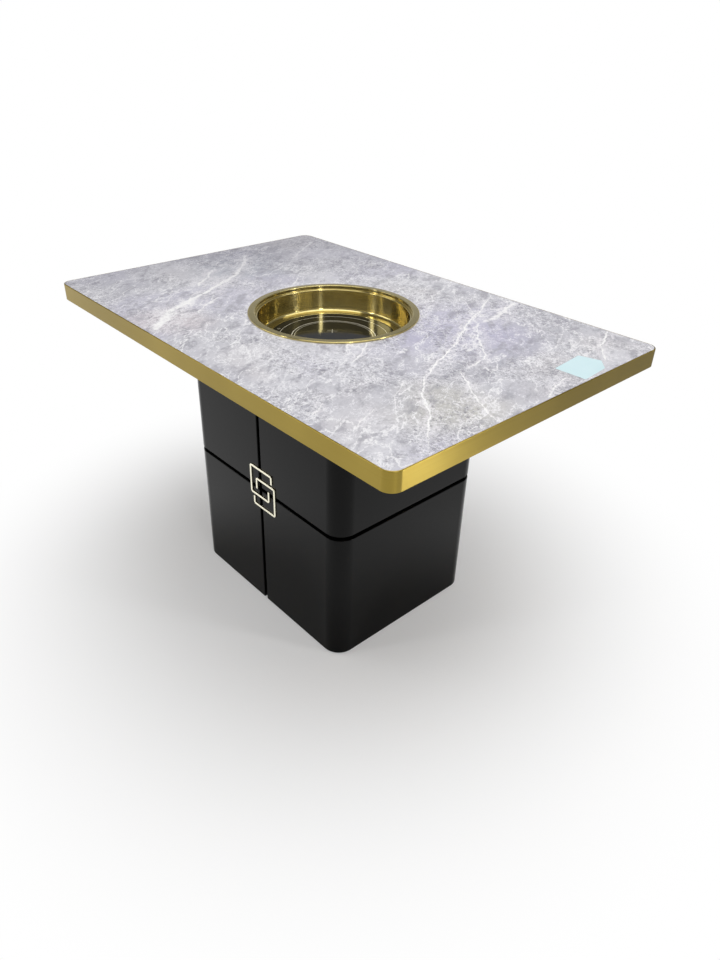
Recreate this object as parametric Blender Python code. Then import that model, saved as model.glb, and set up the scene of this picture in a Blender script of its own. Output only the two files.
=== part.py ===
"""Hot pot table: a stone top with a brass edge, a sunken pot well with a drop-in induction cooker,
and a lacquered box base with a service door at the back.

Metres, +Z up. The origin is on the floor under the middle of the table. The long side runs along X,
and the face with the fret ornament looks along -Y.
"""

import math

import bmesh
import bpy
from mathutils import Matrix

# Table top
TOP_LENGTH = 1.200
TOP_WIDTH = 0.800
TABLE_HEIGHT = 0.750
TOP_CORNER_RADIUS = 0.025
STONE_THICKNESS = 0.012
STONE_EDGE_BEVEL = 0.0008
BAND_HEIGHT = 0.040
BAND_SHEET = 0.002
BAND_LIP = 0.018

# Base
BASE_LENGTH = 0.580
BASE_WIDTH = 0.460
BASE_CORNER_RADIUS = 0.045
SHELL_THICKNESS = 0.015
SHELL_EDGE_BEVEL = 0.0015
SHELL_FLOOR_GAP = 0.004
WAIST_HEIGHT = 0.352
GROOVE_WIDTH = 0.010
RAIL_THICKNESS = 0.018
RAIL_HEIGHT = 0.050
BATTEN_WIDTH = 0.060
BATTEN_THICKNESS = 0.015
PLATE_THICKNESS = 0.018
POST_SIZE = 0.040

# Levelling feet
FOOT_HEIGHT = 0.010
FOOT_RADIUS = 0.022
FOOT_NECK_RADIUS = 0.012
FOOT_CUSHION = 0.003
STUD_RADIUS = 0.005
STUD_LENGTH = 0.040
FOOT_INSET = 0.095
NUT_WIDTH = 0.017
NUT_HEIGHT = 0.008

# Service door at the back of the lower tier
DOOR_JAMB = 0.045
DOOR_GAP = 0.003
DOOR_FLOOR_GAP = 0.012
FINGER_NOTCH_WIDTH = 0.080
FINGER_NOTCH_DEPTH = 0.016
VENT_SLOT_COUNT = 6
VENT_SLOT_LENGTH = 0.180
VENT_SLOT_HEIGHT = 0.007
VENT_SLOT_PITCH = 0.018
VENT_MIDDLE_HEIGHT = 0.120
HINGE_HEIGHT = 0.060
HINGE_LEAF_WIDTH = 0.024
HINGE_LEAF_THICKNESS = 0.0016
HINGE_MARGIN = 0.050
KNUCKLE_RADIUS = 0.0042
HINGE_PIN_RADIUS = 0.0020
PIN_CAP_HEIGHT = 0.0020
CATCH_LENGTH = 0.046
CATCH_HEIGHT = 0.014
CATCH_DEPTH = 0.016
CATCH_INSET = 0.045
STRIKE_THICKNESS = 0.0016
STRIKE_LENGTH = 0.038
STRIKE_HEIGHT = 0.012

# Fret ornament: two interlocking square hooks, the lower one a half turn of the upper one
FRET_BAR = 0.0066
FRET_SIDE_SHIFT = 0.012
FRET_RISE = 0.003
FRET_DEPTH = 0.0060
FRET_OUTER_REACH = 0.0461
FRET_TOP_REACH = 0.0356
FRET_INNER_REACH = 0.0233
FRET_HIGH = 0.0532
FRET_LOW = 0.0228
FRET_TOP_STUB_END = 0.0323
FRET_INNER_STUB_END = 0.0066

# Pot well
RIM_RADIUS = 0.200
RIM_HEIGHT = 0.0038
RIM_WIDTH = 0.016
RIM_ROUND = 0.0020
LID_STEP_DEPTH = 0.009
LID_STEP_WIDTH = 0.006
WELL_WALL_TAPER = 0.003
WELL_SHEET = 0.0015
WELL_FILLET = 0.008
WELL_FLOOR_DEPTH = 0.0585
CUTOUT_GAP = 0.003
GASKET_WIDTH = 0.008
WELL_FLOOR_RING = 0.016

# Induction cooker
GLASS_THICKNESS = 0.004
GLASS_SINK = 0.0005
GLASS_EDGE_BEVEL = 0.0008
GLASS_SIDE_GAP = 0.0015
COOKER_FLANGE_SETBACK = 0.0035
COOKER_FLANGE_THICKNESS = 0.0025
COOKER_LEDGE_GAP = 0.003
HOUSING_SETBACK = 0.0175
HOUSING_WALL = 0.0025
HOUSING_DEPTH = 0.060
HOUSING_FOOT_BEVEL = 0.006
EXHAUST_SLOT_COUNT = 9
EXHAUST_SLOT_STEP = 7.0
EXHAUST_SLOT_WIDTH = 0.006
EXHAUST_SLOT_HEIGHT = 0.022
INLET_SLOT_COUNT = 7
INLET_SLOT_WIDTH = 0.005
FAN_SIZE = 0.080
FAN_DEPTH = 0.020
FAN_BORE_RADIUS = 0.037
FAN_OFFSET = 0.062
FAN_HUB_RADIUS = 0.016
FAN_BLADE_COUNT = 7
FAN_BLADE_THICKNESS = 0.0016
FAN_BLADE_PITCH = 38.0
FAN_TIP_GAP = 0.0015
FAN_SPOKE_WIDTH = 0.005
FAN_SPOKE_HEIGHT = 0.003
FAN_SHAFT_RADIUS = 0.0015
FAN_SHAFT_LENGTH = 0.010
BOARD_LENGTH = 0.092
BOARD_WIDTH = 0.120
BOARD_THICKNESS = 0.0016
BOARD_OFFSET = 0.040
BOARD_STANDOFF = 0.006
STANDOFF_RADIUS = 0.004
STANDOFF_MARGIN = 0.008
HEATSINK_LENGTH = 0.070
HEATSINK_WIDTH = 0.036
HEATSINK_HEIGHT = 0.018
HEATSINK_FOOT = 0.003
FIN_COUNT = 7
FIN_THICKNESS = 0.0014
CAPACITOR_SIZE = (0.032, 0.022, 0.018)
CAPACITOR_PLACE = (0.014, 0.040)
CHOKE_RADIUS = 0.013
CHOKE_WIRE_RADIUS = 0.005
CHOKE_PLACE = (0.016, -0.042)
HEATSINK_PLACE = (0.062, 0.0)
TRAY_LEG_MARGIN = 0.0115
TRAY_ARM_REACH = 0.018
TRAY_THICKNESS = 0.003
TRAY_HOLE_RADIUS = 0.018
TRAY_LEG_RADIUS = 0.005
TRAY_ARM_WIDTH = 0.012
FERRITE_COUNT = 6
FERRITE_LENGTH = 0.060
FERRITE_WIDTH = 0.012
FERRITE_HEIGHT = 0.005
FERRITE_START = 0.026
COIL_TURNS = 11
COIL_WIRE_RADIUS = 0.0021
COIL_EDGE_GAP = 0.002
COIL_POINTS_PER_TURN = 20
COIL_GLASS_GAP = 0.004
SENSOR_RADIUS = 0.009
SENSOR_STEM_RADIUS = 0.005
SENSOR_COLLAR_LIP = 0.003
GLAND_RADIUS = 0.008
GLAND_NUT_WIDTH = 0.022
GLAND_NUT_LENGTH = 0.006
GLAND_TAIL = 0.014
GLAND_BORE_RADIUS = 0.004
GLAND_MARGIN = 0.032

# Gap kept between pieces that rest on, fit in or pass each other
CLEARANCE = 0.0003
# Least radius left where an outline is offset inwards past its corner
LEAST_CORNER = 0.001
# How far a cutting tool runs past the wall that it cuts
CUT_PAST = 0.010
# How deep two shapes lie in each other before they are joined
JOIN_DEPTH = 0.0005

# Facets
CORNER_STEPS = 6
ROUND_STEPS = 48
SMALL_STEPS = 20
FILLET_STEPS = 3
ROLL_STEPS = 2

# Heights worked out from the sizes above
STONE_BOTTOM = TABLE_HEIGHT - STONE_THICKNESS
BAND_BOTTOM = TABLE_HEIGHT - BAND_HEIGHT
CORE_TOP = STONE_BOTTOM - CLEARANCE
CORE_BOTTOM = BAND_BOTTOM + BAND_SHEET + CLEARANCE
BASE_TOP = CORE_BOTTOM - CLEARANCE
TOP_PLATE_BOTTOM = BASE_TOP - PLATE_THICKNESS
FLOOR_PLATE_BOTTOM = FOOT_HEIGHT + CLEARANCE
FLOOR_PLATE_TOP = FLOOR_PLATE_BOTTOM + PLATE_THICKNESS
GROOVE_BOTTOM = WAIST_HEIGHT - GROOVE_WIDTH / 2
GROOVE_TOP = WAIST_HEIGHT + GROOVE_WIDTH / 2
RAIL_BOTTOM = WAIST_HEIGHT - RAIL_HEIGHT / 2
RAIL_TOP = WAIST_HEIGHT + RAIL_HEIGHT / 2
RIM_TOP = TABLE_HEIGHT + CLEARANCE + RIM_HEIGHT
GASKET_BOTTOM = TABLE_HEIGHT + CLEARANCE
GASKET_TOP = RIM_TOP - WELL_SHEET - CLEARANCE
WELL_FLOOR = TABLE_HEIGHT - WELL_FLOOR_DEPTH
GLASS_TOP = WELL_FLOOR - GLASS_SINK
GLASS_BOTTOM = GLASS_TOP - GLASS_THICKNESS
COOKER_FLANGE_TOP = GLASS_BOTTOM - CLEARANCE
COOKER_FLANGE_BOTTOM = COOKER_FLANGE_TOP - COOKER_FLANGE_THICKNESS
LEDGE_TOP = COOKER_FLANGE_BOTTOM - CLEARANCE
HOUSING_BOTTOM = COOKER_FLANGE_BOTTOM - HOUSING_DEPTH
HOUSING_FLOOR = HOUSING_BOTTOM + HOUSING_WALL
FAN_BOTTOM = HOUSING_FLOOR + CLEARANCE
BOARD_BOTTOM = HOUSING_FLOOR + BOARD_STANDOFF + CLEARANCE
BOARD_TOP = BOARD_BOTTOM + BOARD_THICKNESS
COIL_HEIGHT = GLASS_BOTTOM - COIL_GLASS_GAP - COIL_WIRE_RADIUS
TRAY_TOP = COIL_HEIGHT - COIL_WIRE_RADIUS - CLEARANCE
TRAY_BOTTOM = TRAY_TOP - TRAY_THICKNESS

# Radii and offsets worked out from the sizes above
STEP_EDGE_RADIUS = RIM_RADIUS - RIM_WIDTH
WELL_RADIUS = STEP_EDGE_RADIUS - LID_STEP_WIDTH
CUTOUT_RADIUS = STEP_EDGE_RADIUS + WELL_SHEET + CUTOUT_GAP
PLATE_HOLE_RADIUS = WELL_RADIUS + WELL_SHEET + CUTOUT_GAP
WELL_FOOT_RADIUS = WELL_RADIUS - WELL_WALL_TAPER
GLASS_RADIUS = WELL_FOOT_RADIUS - WELL_FILLET - WELL_FLOOR_RING - GLASS_SIDE_GAP
HOUSING_RADIUS = GLASS_RADIUS - HOUSING_SETBACK
LEDGE_RADIUS = GLASS_RADIUS + GLASS_SIDE_GAP
LEDGE_OPENING = HOUSING_RADIUS + COOKER_LEDGE_GAP
COOKER_FLANGE_RADIUS = GLASS_RADIUS - COOKER_FLANGE_SETBACK
TRAY_LEG_CIRCLE = HOUSING_RADIUS - HOUSING_WALL - TRAY_LEG_MARGIN
TRAY_RADIUS = TRAY_LEG_CIRCLE - TRAY_ARM_REACH
SENSOR_COLLAR_RADIUS = TRAY_HOLE_RADIUS + SENSOR_COLLAR_LIP
COIL_INNER_RADIUS = SENSOR_COLLAR_RADIUS + COIL_EDGE_GAP + COIL_WIRE_RADIUS
COIL_OUTER_RADIUS = TRAY_RADIUS - COIL_EDGE_GAP - COIL_WIRE_RADIUS
COIL_PITCH = (COIL_OUTER_RADIUS - COIL_INNER_RADIUS) / COIL_TURNS
GLAND_OFFSET = HOUSING_RADIUS - GLAND_MARGIN
FRONT_FACE = -BASE_WIDTH / 2
BACK_FACE = BASE_WIDTH / 2
LINING_INSET = SHELL_THICKNESS + CLEARANCE
DOOR_WIDTH = BASE_LENGTH - 2 * (BASE_CORNER_RADIUS + DOOR_JAMB)
POST_INSET = LINING_INSET + RAIL_THICKNESS + CLEARANCE
HINGE_X = -(DOOR_WIDTH + DOOR_GAP) / 2
HINGE_Y = BACK_FACE + CLEARANCE + KNUCKLE_RADIUS
DOOR_AXIS = (HINGE_X, HINGE_Y, 0.0)
DOOR_TOP = GROOVE_BOTTOM
DOOR_INNER_FACE = BACK_FACE - SHELL_THICKNESS


def clear_scene():
    for old in list(bpy.data.objects):
        bpy.data.objects.remove(old, do_unlink=True)


def finish_material(name, colour, roughness, metallic=0.0):
    """A plain surface finish: base colour, roughness and metallic value."""
    made = bpy.data.materials.new(name)
    made.use_nodes = True
    shader = made.node_tree.nodes["Principled BSDF"]
    shader.inputs["Base Color"].default_value = (*colour, 1.0)
    shader.inputs["Roughness"].default_value = roughness
    shader.inputs["Metallic"].default_value = metallic
    return made


def add_object(name, shape, material=None):
    """Turns a bmesh into a named object with its material, shaded smooth up to 30 degrees."""
    mesh = bpy.data.meshes.new(name)
    shape.to_mesh(mesh)
    shape.free()
    mesh.shade_smooth()
    mesh.set_sharp_from_angle(angle=math.radians(30))
    made = bpy.data.objects.new(name, mesh)
    bpy.context.scene.collection.objects.link(made)
    if material:
        mesh.materials.append(material)
    return made


def add_bevel(target, width, segments=1):
    """Softens the sharp edges of a finished shape."""
    bevel = target.modifiers.new("edge_bevel", "BEVEL")
    bevel.width = width
    bevel.segments = segments
    bevel.limit_method = "ANGLE"
    bevel.angle_limit = math.radians(50)


def cut(target, tool):
    """Cuts a helper shape out of the target and keeps the helper out of the model."""
    join_with(target, tool, "DIFFERENCE")


def join_with(target, tool, operation="UNION"):
    change = target.modifiers.new(operation.lower() + "_" + tool.name, "BOOLEAN")
    change.operation = operation
    change.object = tool
    tool.hide_render = True
    tool.display_type = "WIRE"


def set_origin(target, place):
    """Puts the origin of a moving piece on the axis it moves about, and leaves its shape where it is."""
    target.data.transform(Matrix.Translation([-value for value in place]))
    target.location = place


def rounded_rectangle(length, width, radius, steps=CORNER_STEPS):
    """Corner-rounded outline about the origin, counter-clockwise."""
    reach_x = length / 2 - radius
    reach_y = width / 2 - radius
    corners = ((1, 1, 0), (-1, 1, 90), (-1, -1, 180), (1, -1, 270))
    outline = []
    for side_x, side_y, start in corners:
        for step in range(steps + 1):
            angle = math.radians(start + 90 * step / steps)
            x = side_x * reach_x + radius * math.cos(angle)
            y = side_y * reach_y + radius * math.sin(angle)
            outline.append((x, y))
    return outline


def inset_rectangle(length, width, radius, inset, steps=CORNER_STEPS):
    """The outline that runs at an inset inside a corner-rounded rectangle."""
    inner_radius = max(radius - inset, LEAST_CORNER)
    return rounded_rectangle(length - 2 * inset, width - 2 * inset, inner_radius, steps)


def extrude_outline(outline, bottom, top):
    """A prism over a flat outline."""
    shape = bmesh.new()
    foot = shape.faces.new([shape.verts.new((x, y, bottom)) for x, y in outline])
    raised = bmesh.ops.extrude_face_region(shape, geom=[foot])
    corners = [item for item in raised["geom"] if isinstance(item, bmesh.types.BMVert)]
    bmesh.ops.translate(shape, verts=corners, vec=(0, 0, top - bottom))
    bmesh.ops.recalc_face_normals(shape, faces=shape.faces)
    return shape


def box(low, high):
    """A block between two corners."""
    outline = [(low[0], low[1]), (high[0], low[1]), (high[0], high[1]), (low[0], high[1])]
    return extrude_outline(outline, low[2], high[2])


def turn_ring(profile, steps=ROUND_STEPS):
    """Spins a closed profile of (radius, height) points that stays off the axis."""
    shape = bmesh.new()
    corners = [shape.verts.new((radius, 0, height)) for radius, height in profile]
    edges = [shape.edges.new((corners[i - 1], corners[i])) for i in range(len(corners))]
    spin_full(shape, edges, steps)
    return shape


def turn_solid(profile, steps=SMALL_STEPS):
    """Spins an open profile of (radius, height) points that starts and ends on the axis."""
    shape = bmesh.new()
    corners = [shape.verts.new((radius, 0, height)) for radius, height in profile]
    edges = [shape.edges.new((corners[i], corners[i + 1])) for i in range(len(corners) - 1)]
    spin_full(shape, edges, steps)
    return shape


def spin_full(shape, edges, steps):
    bmesh.ops.spin(
        shape,
        geom=edges,
        cent=(0, 0, 0),
        axis=(0, 0, 1),
        angle=2 * math.pi,
        steps=steps,
        use_merge=True,
    )
    bmesh.ops.remove_doubles(shape, verts=shape.verts, dist=1e-6)
    bmesh.ops.recalc_face_normals(shape, faces=shape.faces)


def cylinder(radius, bottom, top, steps=SMALL_STEPS):
    return turn_solid([(0, top), (radius, top), (radius, bottom), (0, bottom)], steps)


def tube(outer, inner, bottom, top, steps=SMALL_STEPS):
    return turn_ring([(outer, top), (outer, bottom), (inner, bottom), (inner, top)], steps)


def moved(shape, offset):
    bmesh.ops.translate(shape, verts=shape.verts, vec=offset)
    return shape


def turned(shape, degrees, axis="Z"):
    matrix = Matrix.Rotation(math.radians(degrees), 3, axis)
    bmesh.ops.rotate(shape, verts=shape.verts, cent=(0, 0, 0), matrix=matrix)
    return shape


def arc_points(centre, radius, start, end, steps=FILLET_STEPS):
    """Points on an arc in the (radius, height) plane, angles in degrees, ends included."""
    points = []
    for step in range(steps + 1):
        angle = math.radians(start + (end - start) * step / steps)
        points.append((centre[0] + radius * math.cos(angle), centre[1] + radius * math.sin(angle)))
    return points


# Table top: a stone slab on a board core, edged with a bent metal band


def make_table_top():
    stone_inset = BAND_SHEET + CLEARANCE
    outline = inset_rectangle(TOP_LENGTH, TOP_WIDTH, TOP_CORNER_RADIUS, stone_inset)
    hole = add_object(
        "tool_top_cutout",
        cylinder(CUTOUT_RADIUS, CORE_BOTTOM - CUT_PAST, TABLE_HEIGHT + CUT_PAST, ROUND_STEPS),
    )

    stone = add_object("stone_top", extrude_outline(outline, STONE_BOTTOM, TABLE_HEIGHT), STONE)
    add_bevel(stone, STONE_EDGE_BEVEL)
    cut(stone, hole)

    core = add_object("core_board", extrude_outline(outline, CORE_BOTTOM, CORE_TOP), PLYWOOD)
    cut(core, hole)

    make_edge_band()


def make_edge_band():
    """One bent strip with a lip turned in under the core."""
    outer = rounded_rectangle(TOP_LENGTH, TOP_WIDTH, TOP_CORNER_RADIUS)
    inner = inset_rectangle(TOP_LENGTH, TOP_WIDTH, TOP_CORNER_RADIUS, BAND_SHEET)
    lip = inset_rectangle(TOP_LENGTH, TOP_WIDTH, TOP_CORNER_RADIUS, BAND_LIP)
    lip_top = BAND_BOTTOM + BAND_SHEET
    loops = (
        (outer, TABLE_HEIGHT),
        (outer, BAND_BOTTOM),
        (lip, BAND_BOTTOM),
        (lip, lip_top),
        (inner, lip_top),
        (inner, TABLE_HEIGHT),
    )
    shape = bmesh.new()
    rings = [[shape.verts.new((x, y, height)) for x, y in outline] for outline, height in loops]
    for i, ring in enumerate(rings):
        last = rings[i - 1]
        for j in range(len(ring)):
            shape.faces.new((last[j - 1], last[j], ring[j], ring[j - 1]))
    bmesh.ops.recalc_face_normals(shape, faces=shape.faces)
    add_object("edge_band", shape, BRASS_BRUSHED)


# Base: four bent shells on a waist rail, battens, plates and corner posts


def shell_outline(side, back_end):
    """Half of the base seen from above: half the front, a corner, one side, a corner, part of the back."""
    path = []
    for inset in (0, SHELL_THICKNESS):
        radius = max(BASE_CORNER_RADIUS - inset, LEAST_CORNER)
        reach_x = BASE_LENGTH / 2 - inset
        reach_y = BASE_WIDTH / 2 - inset
        line = [(GROOVE_WIDTH / 2, -reach_y)]
        for side_y, start in ((-1, -90), (1, 0)):
            centre = (reach_x - radius, side_y * (reach_y - radius))
            line += arc_points(centre, radius, start, start + 90, CORNER_STEPS)
        line.append((back_end, reach_y))
        path += line if inset == 0 else line[::-1]
    if side > 0:
        return path
    return [(-x, y) for x, y in reversed(path)]


def make_shells():
    door_frame_end = DOOR_WIDTH / 2 + DOOR_GAP
    tiers = (
        ("upper", GROOVE_WIDTH / 2, GROOVE_TOP, BASE_TOP),
        ("lower", door_frame_end, SHELL_FLOOR_GAP, GROOVE_BOTTOM),
    )
    for tier, back_end, bottom, top in tiers:
        for side, word in ((-1, "left"), (1, "right")):
            shape = extrude_outline(shell_outline(side, back_end), bottom, top)
            shell = add_object(f"{tier}_shell_{word}", shape, LACQUER)
            add_bevel(shell, SHELL_EDGE_BEVEL)


def make_carcass():
    lining = inset_rectangle(BASE_LENGTH, BASE_WIDTH, BASE_CORNER_RADIUS, LINING_INSET)
    rail_hole = inset_rectangle(
        BASE_LENGTH, BASE_WIDTH, BASE_CORNER_RADIUS, LINING_INSET + RAIL_THICKNESS
    )

    rail = add_object("waist_rail", extrude_outline(lining, RAIL_BOTTOM, RAIL_TOP), DARK_BOARD)
    hole_shape = extrude_outline(rail_hole, RAIL_BOTTOM - CUT_PAST, RAIL_TOP + CUT_PAST)
    cut(rail, add_object("tool_rail_hole", hole_shape))

    top_plate_shape = extrude_outline(lining, TOP_PLATE_BOTTOM, BASE_TOP)
    top_plate = add_object("base_top_plate", top_plate_shape, PLYWOOD)
    hole_shape = cylinder(PLATE_HOLE_RADIUS, TOP_PLATE_BOTTOM - CUT_PAST, BASE_TOP + CUT_PAST, ROUND_STEPS)
    cut(top_plate, add_object("tool_plate_hole", hole_shape))

    floor_shape = extrude_outline(lining, FLOOR_PLATE_BOTTOM, FLOOR_PLATE_TOP)
    floor_plate = add_object("bottom_plate", floor_shape, PLYWOOD)
    for number, (x, y) in enumerate(foot_places(), 1):
        drill = cylinder(
            STUD_RADIUS + CLEARANCE, FLOOR_PLATE_BOTTOM - CUT_PAST, FLOOR_PLATE_TOP + CUT_PAST
        )
        cut(floor_plate, add_object(f"tool_stud_hole_{number}", moved(drill, (x, y, 0))))

    make_posts()
    make_battens()


def make_posts():
    """Posts that stand in the corners of the waist rail and carry the top plate."""
    rail_corner = BASE_CORNER_RADIUS - LINING_INSET - RAIL_THICKNESS
    corner = max(rail_corner - CLEARANCE, LEAST_CORNER)
    section = rounded_rectangle(POST_SIZE, POST_SIZE, corner, FILLET_STEPS)
    reach_x = BASE_LENGTH / 2 - POST_INSET - POST_SIZE / 2
    reach_y = BASE_WIDTH / 2 - POST_INSET - POST_SIZE / 2
    places = (("front_left", -1, -1), ("front_right", 1, -1), ("back_left", -1, 1), ("back_right", 1, 1))
    for word, side_x, side_y in places:
        shape = extrude_outline(section, FLOOR_PLATE_TOP + CLEARANCE, TOP_PLATE_BOTTOM - CLEARANCE)
        moved(shape, (side_x * reach_x, side_y * reach_y, 0))
        add_object(f"corner_post_{word}", shape, PLYWOOD)


def make_battens():
    """Boards behind the upright seams. Their dark faces are the bottoms of the grooves."""
    lower = (FLOOR_PLATE_TOP + CLEARANCE, RAIL_BOTTOM - CLEARANCE)
    upper = (RAIL_TOP + CLEARANCE, TOP_PLATE_BOTTOM - CLEARANCE)
    outer = BASE_WIDTH / 2 - LINING_INSET
    inner = outer - BATTEN_THICKNESS
    for name, side_y, (bottom, top) in (
        ("front_batten_lower", -1, lower),
        ("front_batten_upper", -1, upper),
        ("back_batten_upper", 1, upper),
    ):
        ends = sorted((side_y * outer, side_y * inner))
        shape = box((-BATTEN_WIDTH / 2, ends[0], bottom), (BATTEN_WIDTH / 2, ends[1], top))
        add_object(name, shape, DARK_BOARD)


# Levelling feet: a turned pad with a threaded stud, held by a nut on the bottom plate


def foot_places():
    reach_x = BASE_LENGTH / 2 - FOOT_INSET
    reach_y = BASE_WIDTH / 2 - FOOT_INSET
    return [(-reach_x, -reach_y), (reach_x, -reach_y), (reach_x, reach_y), (-reach_x, reach_y)]


def make_feet():
    stud_top = FOOT_HEIGHT + STUD_LENGTH
    profile = [
        (0, stud_top),
        (STUD_RADIUS, stud_top),
        (STUD_RADIUS, FOOT_HEIGHT),
        (FOOT_NECK_RADIUS, FOOT_HEIGHT),
        (FOOT_RADIUS, FOOT_CUSHION),
        (FOOT_RADIUS, 0),
        (0, 0),
    ]
    nut_bottom = FLOOR_PLATE_TOP + CLEARANCE
    nut_reach = NUT_WIDTH / math.sqrt(3)
    nut_bore = STUD_RADIUS + CLEARANCE
    for number, (x, y) in enumerate(foot_places(), 1):
        foot = add_object(f"levelling_foot_{number}", moved(turn_solid(profile), (x, y, 0)), RUBBER)
        set_origin(foot, (x, y, 0.0))
        hexagon = [
            (nut_reach * math.cos(math.radians(60 * i)), nut_reach * math.sin(math.radians(60 * i)))
            for i in range(6)
        ]
        nut = moved(extrude_outline(hexagon, nut_bottom, nut_bottom + NUT_HEIGHT), (x, y, 0))
        nut_object = add_object(f"foot_nut_{number}", nut, STEEL)
        drill = cylinder(nut_bore, nut_bottom - CUT_PAST, nut_bottom + NUT_HEIGHT + CUT_PAST)
        cut(nut_object, add_object(f"tool_nut_bore_{number}", moved(drill, (x, y, 0))))


# Service door: a vented panel on two surface hinges, kept shut by a magnetic catch


def make_door():
    shape = box((-DOOR_WIDTH / 2, DOOR_INNER_FACE, DOOR_FLOOR_GAP), (DOOR_WIDTH / 2, BACK_FACE, DOOR_TOP))
    door = add_object("service_door", shape, LACQUER)
    set_origin(door, DOOR_AXIS)
    add_bevel(door, SHELL_EDGE_BEVEL)
    for number in range(VENT_SLOT_COUNT):
        height = VENT_MIDDLE_HEIGHT + (number - (VENT_SLOT_COUNT - 1) / 2) * VENT_SLOT_PITCH
        slot = back_slot(0, height, VENT_SLOT_LENGTH, VENT_SLOT_HEIGHT)
        cut(door, add_object(f"tool_vent_{number + 1}", slot))
    notch_height = 2 * FINGER_NOTCH_DEPTH
    notch = back_slot(0, DOOR_TOP, FINGER_NOTCH_WIDTH, notch_height)
    cut(door, add_object("tool_finger_notch", notch))


def back_slot(x, z, length, height):
    """A round-ended slot cutter that runs through the back wall along Y."""
    outline = rounded_rectangle(length, height, height / 2 - LEAST_CORNER / 10, FILLET_STEPS)
    shape = extrude_outline(outline, 0, SHELL_THICKNESS + 2 * CUT_PAST)
    turned(shape, 90, "X")
    return moved(shape, (x, BACK_FACE + CUT_PAST, z))


def make_hinges():
    first = DOOR_FLOOR_GAP + HINGE_MARGIN
    last = DOOR_TOP - HINGE_MARGIN - HINGE_HEIGHT
    for word, bottom in (("lower", first), ("upper", last)):
        thirds = [bottom + HINGE_HEIGHT * i / 3 for i in range(4)]
        outer_knuckles = ((thirds[0], thirds[1]), (thirds[2], thirds[3]))
        middle_knuckle = ((thirds[1] + CLEARANCE, thirds[2] - CLEARANCE),)
        hinge_leaf(f"hinge_{word}_frame_leaf", -1, bottom, outer_knuckles, middle_knuckle)
        hinge_leaf(f"hinge_{word}_door_leaf", 1, bottom, middle_knuckle, outer_knuckles)
        pin_top = bottom + HINGE_HEIGHT + CLEARANCE
        profile = [
            (0, pin_top + PIN_CAP_HEIGHT),
            (KNUCKLE_RADIUS, pin_top + PIN_CAP_HEIGHT),
            (KNUCKLE_RADIUS, pin_top),
            (HINGE_PIN_RADIUS, pin_top),
            (HINGE_PIN_RADIUS, bottom),
            (0, bottom),
        ]
        pin = moved(turn_solid(profile, 16), (HINGE_X, HINGE_Y, 0))
        add_object(f"hinge_{word}_pin", pin, STEEL)


def hinge_leaf(name, side, bottom, own_knuckles, other_knuckles):
    """A flat leaf with its own knuckles rolled on, notched to clear the other leaf's knuckles."""
    near = BACK_FACE + CLEARANCE
    reach = side * HINGE_LEAF_WIDTH
    ends = sorted((HINGE_X, HINGE_X + reach))
    plate = box(
        (ends[0], near, bottom), (ends[1], near + HINGE_LEAF_THICKNESS, bottom + HINGE_HEIGHT)
    )
    leaf = add_object(name, plate, STEEL)
    if side > 0:
        set_origin(leaf, DOOR_AXIS)
    notch_reach = KNUCKLE_RADIUS + 2 * CLEARANCE
    for number, (low, high) in enumerate(other_knuckles, 1):
        notch_low = low - 2 * CLEARANCE if low > bottom else low - CUT_PAST
        notch_high = high + 2 * CLEARANCE if high < bottom + HINGE_HEIGHT else high + CUT_PAST
        notch = box(
            (HINGE_X - notch_reach, near - CUT_PAST, notch_low),
            (HINGE_X + notch_reach, near + CUT_PAST, notch_high),
        )
        cut(leaf, add_object(f"tool_{name}_notch_{number}", notch))
    for number, (low, high) in enumerate(own_knuckles, 1):
        roll = cylinder(KNUCKLE_RADIUS, low, high, 16)
        join_with(leaf, add_object(f"tool_{name}_roll_{number}", moved(roll, (HINGE_X, HINGE_Y, 0))))
    bore = cylinder(HINGE_PIN_RADIUS + CLEARANCE, bottom - CUT_PAST, bottom + HINGE_HEIGHT + CUT_PAST, 16)
    cut(leaf, add_object(f"tool_{name}_bore", moved(bore, (HINGE_X, HINGE_Y, 0))))


def make_catch():
    """A magnetic catch under the waist rail, with its strike on the inner face of the door."""
    middle = DOOR_WIDTH / 2 - CATCH_INSET
    strike_face = DOOR_INNER_FACE - CLEARANCE - STRIKE_THICKNESS
    catch_top = RAIL_BOTTOM - CLEARANCE
    catch_front = strike_face - CLEARANCE
    catch = box(
        (middle - CATCH_LENGTH / 2, catch_front - CATCH_DEPTH, catch_top - CATCH_HEIGHT),
        (middle + CATCH_LENGTH / 2, catch_front, catch_top),
    )
    catch_object = add_object("magnetic_catch", catch, DARK_PLASTIC)
    add_bevel(catch_object, 0.001)
    strike_middle = catch_top - CATCH_HEIGHT / 2
    strike = box(
        (middle - STRIKE_LENGTH / 2, strike_face, strike_middle - STRIKE_HEIGHT / 2),
        (middle + STRIKE_LENGTH / 2, strike_face + STRIKE_THICKNESS, strike_middle + STRIKE_HEIGHT / 2),
    )
    set_origin(add_object("catch_strike", strike, STEEL), DOOR_AXIS)


# Fret ornament on the front, over the crossing of the grooves


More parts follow.
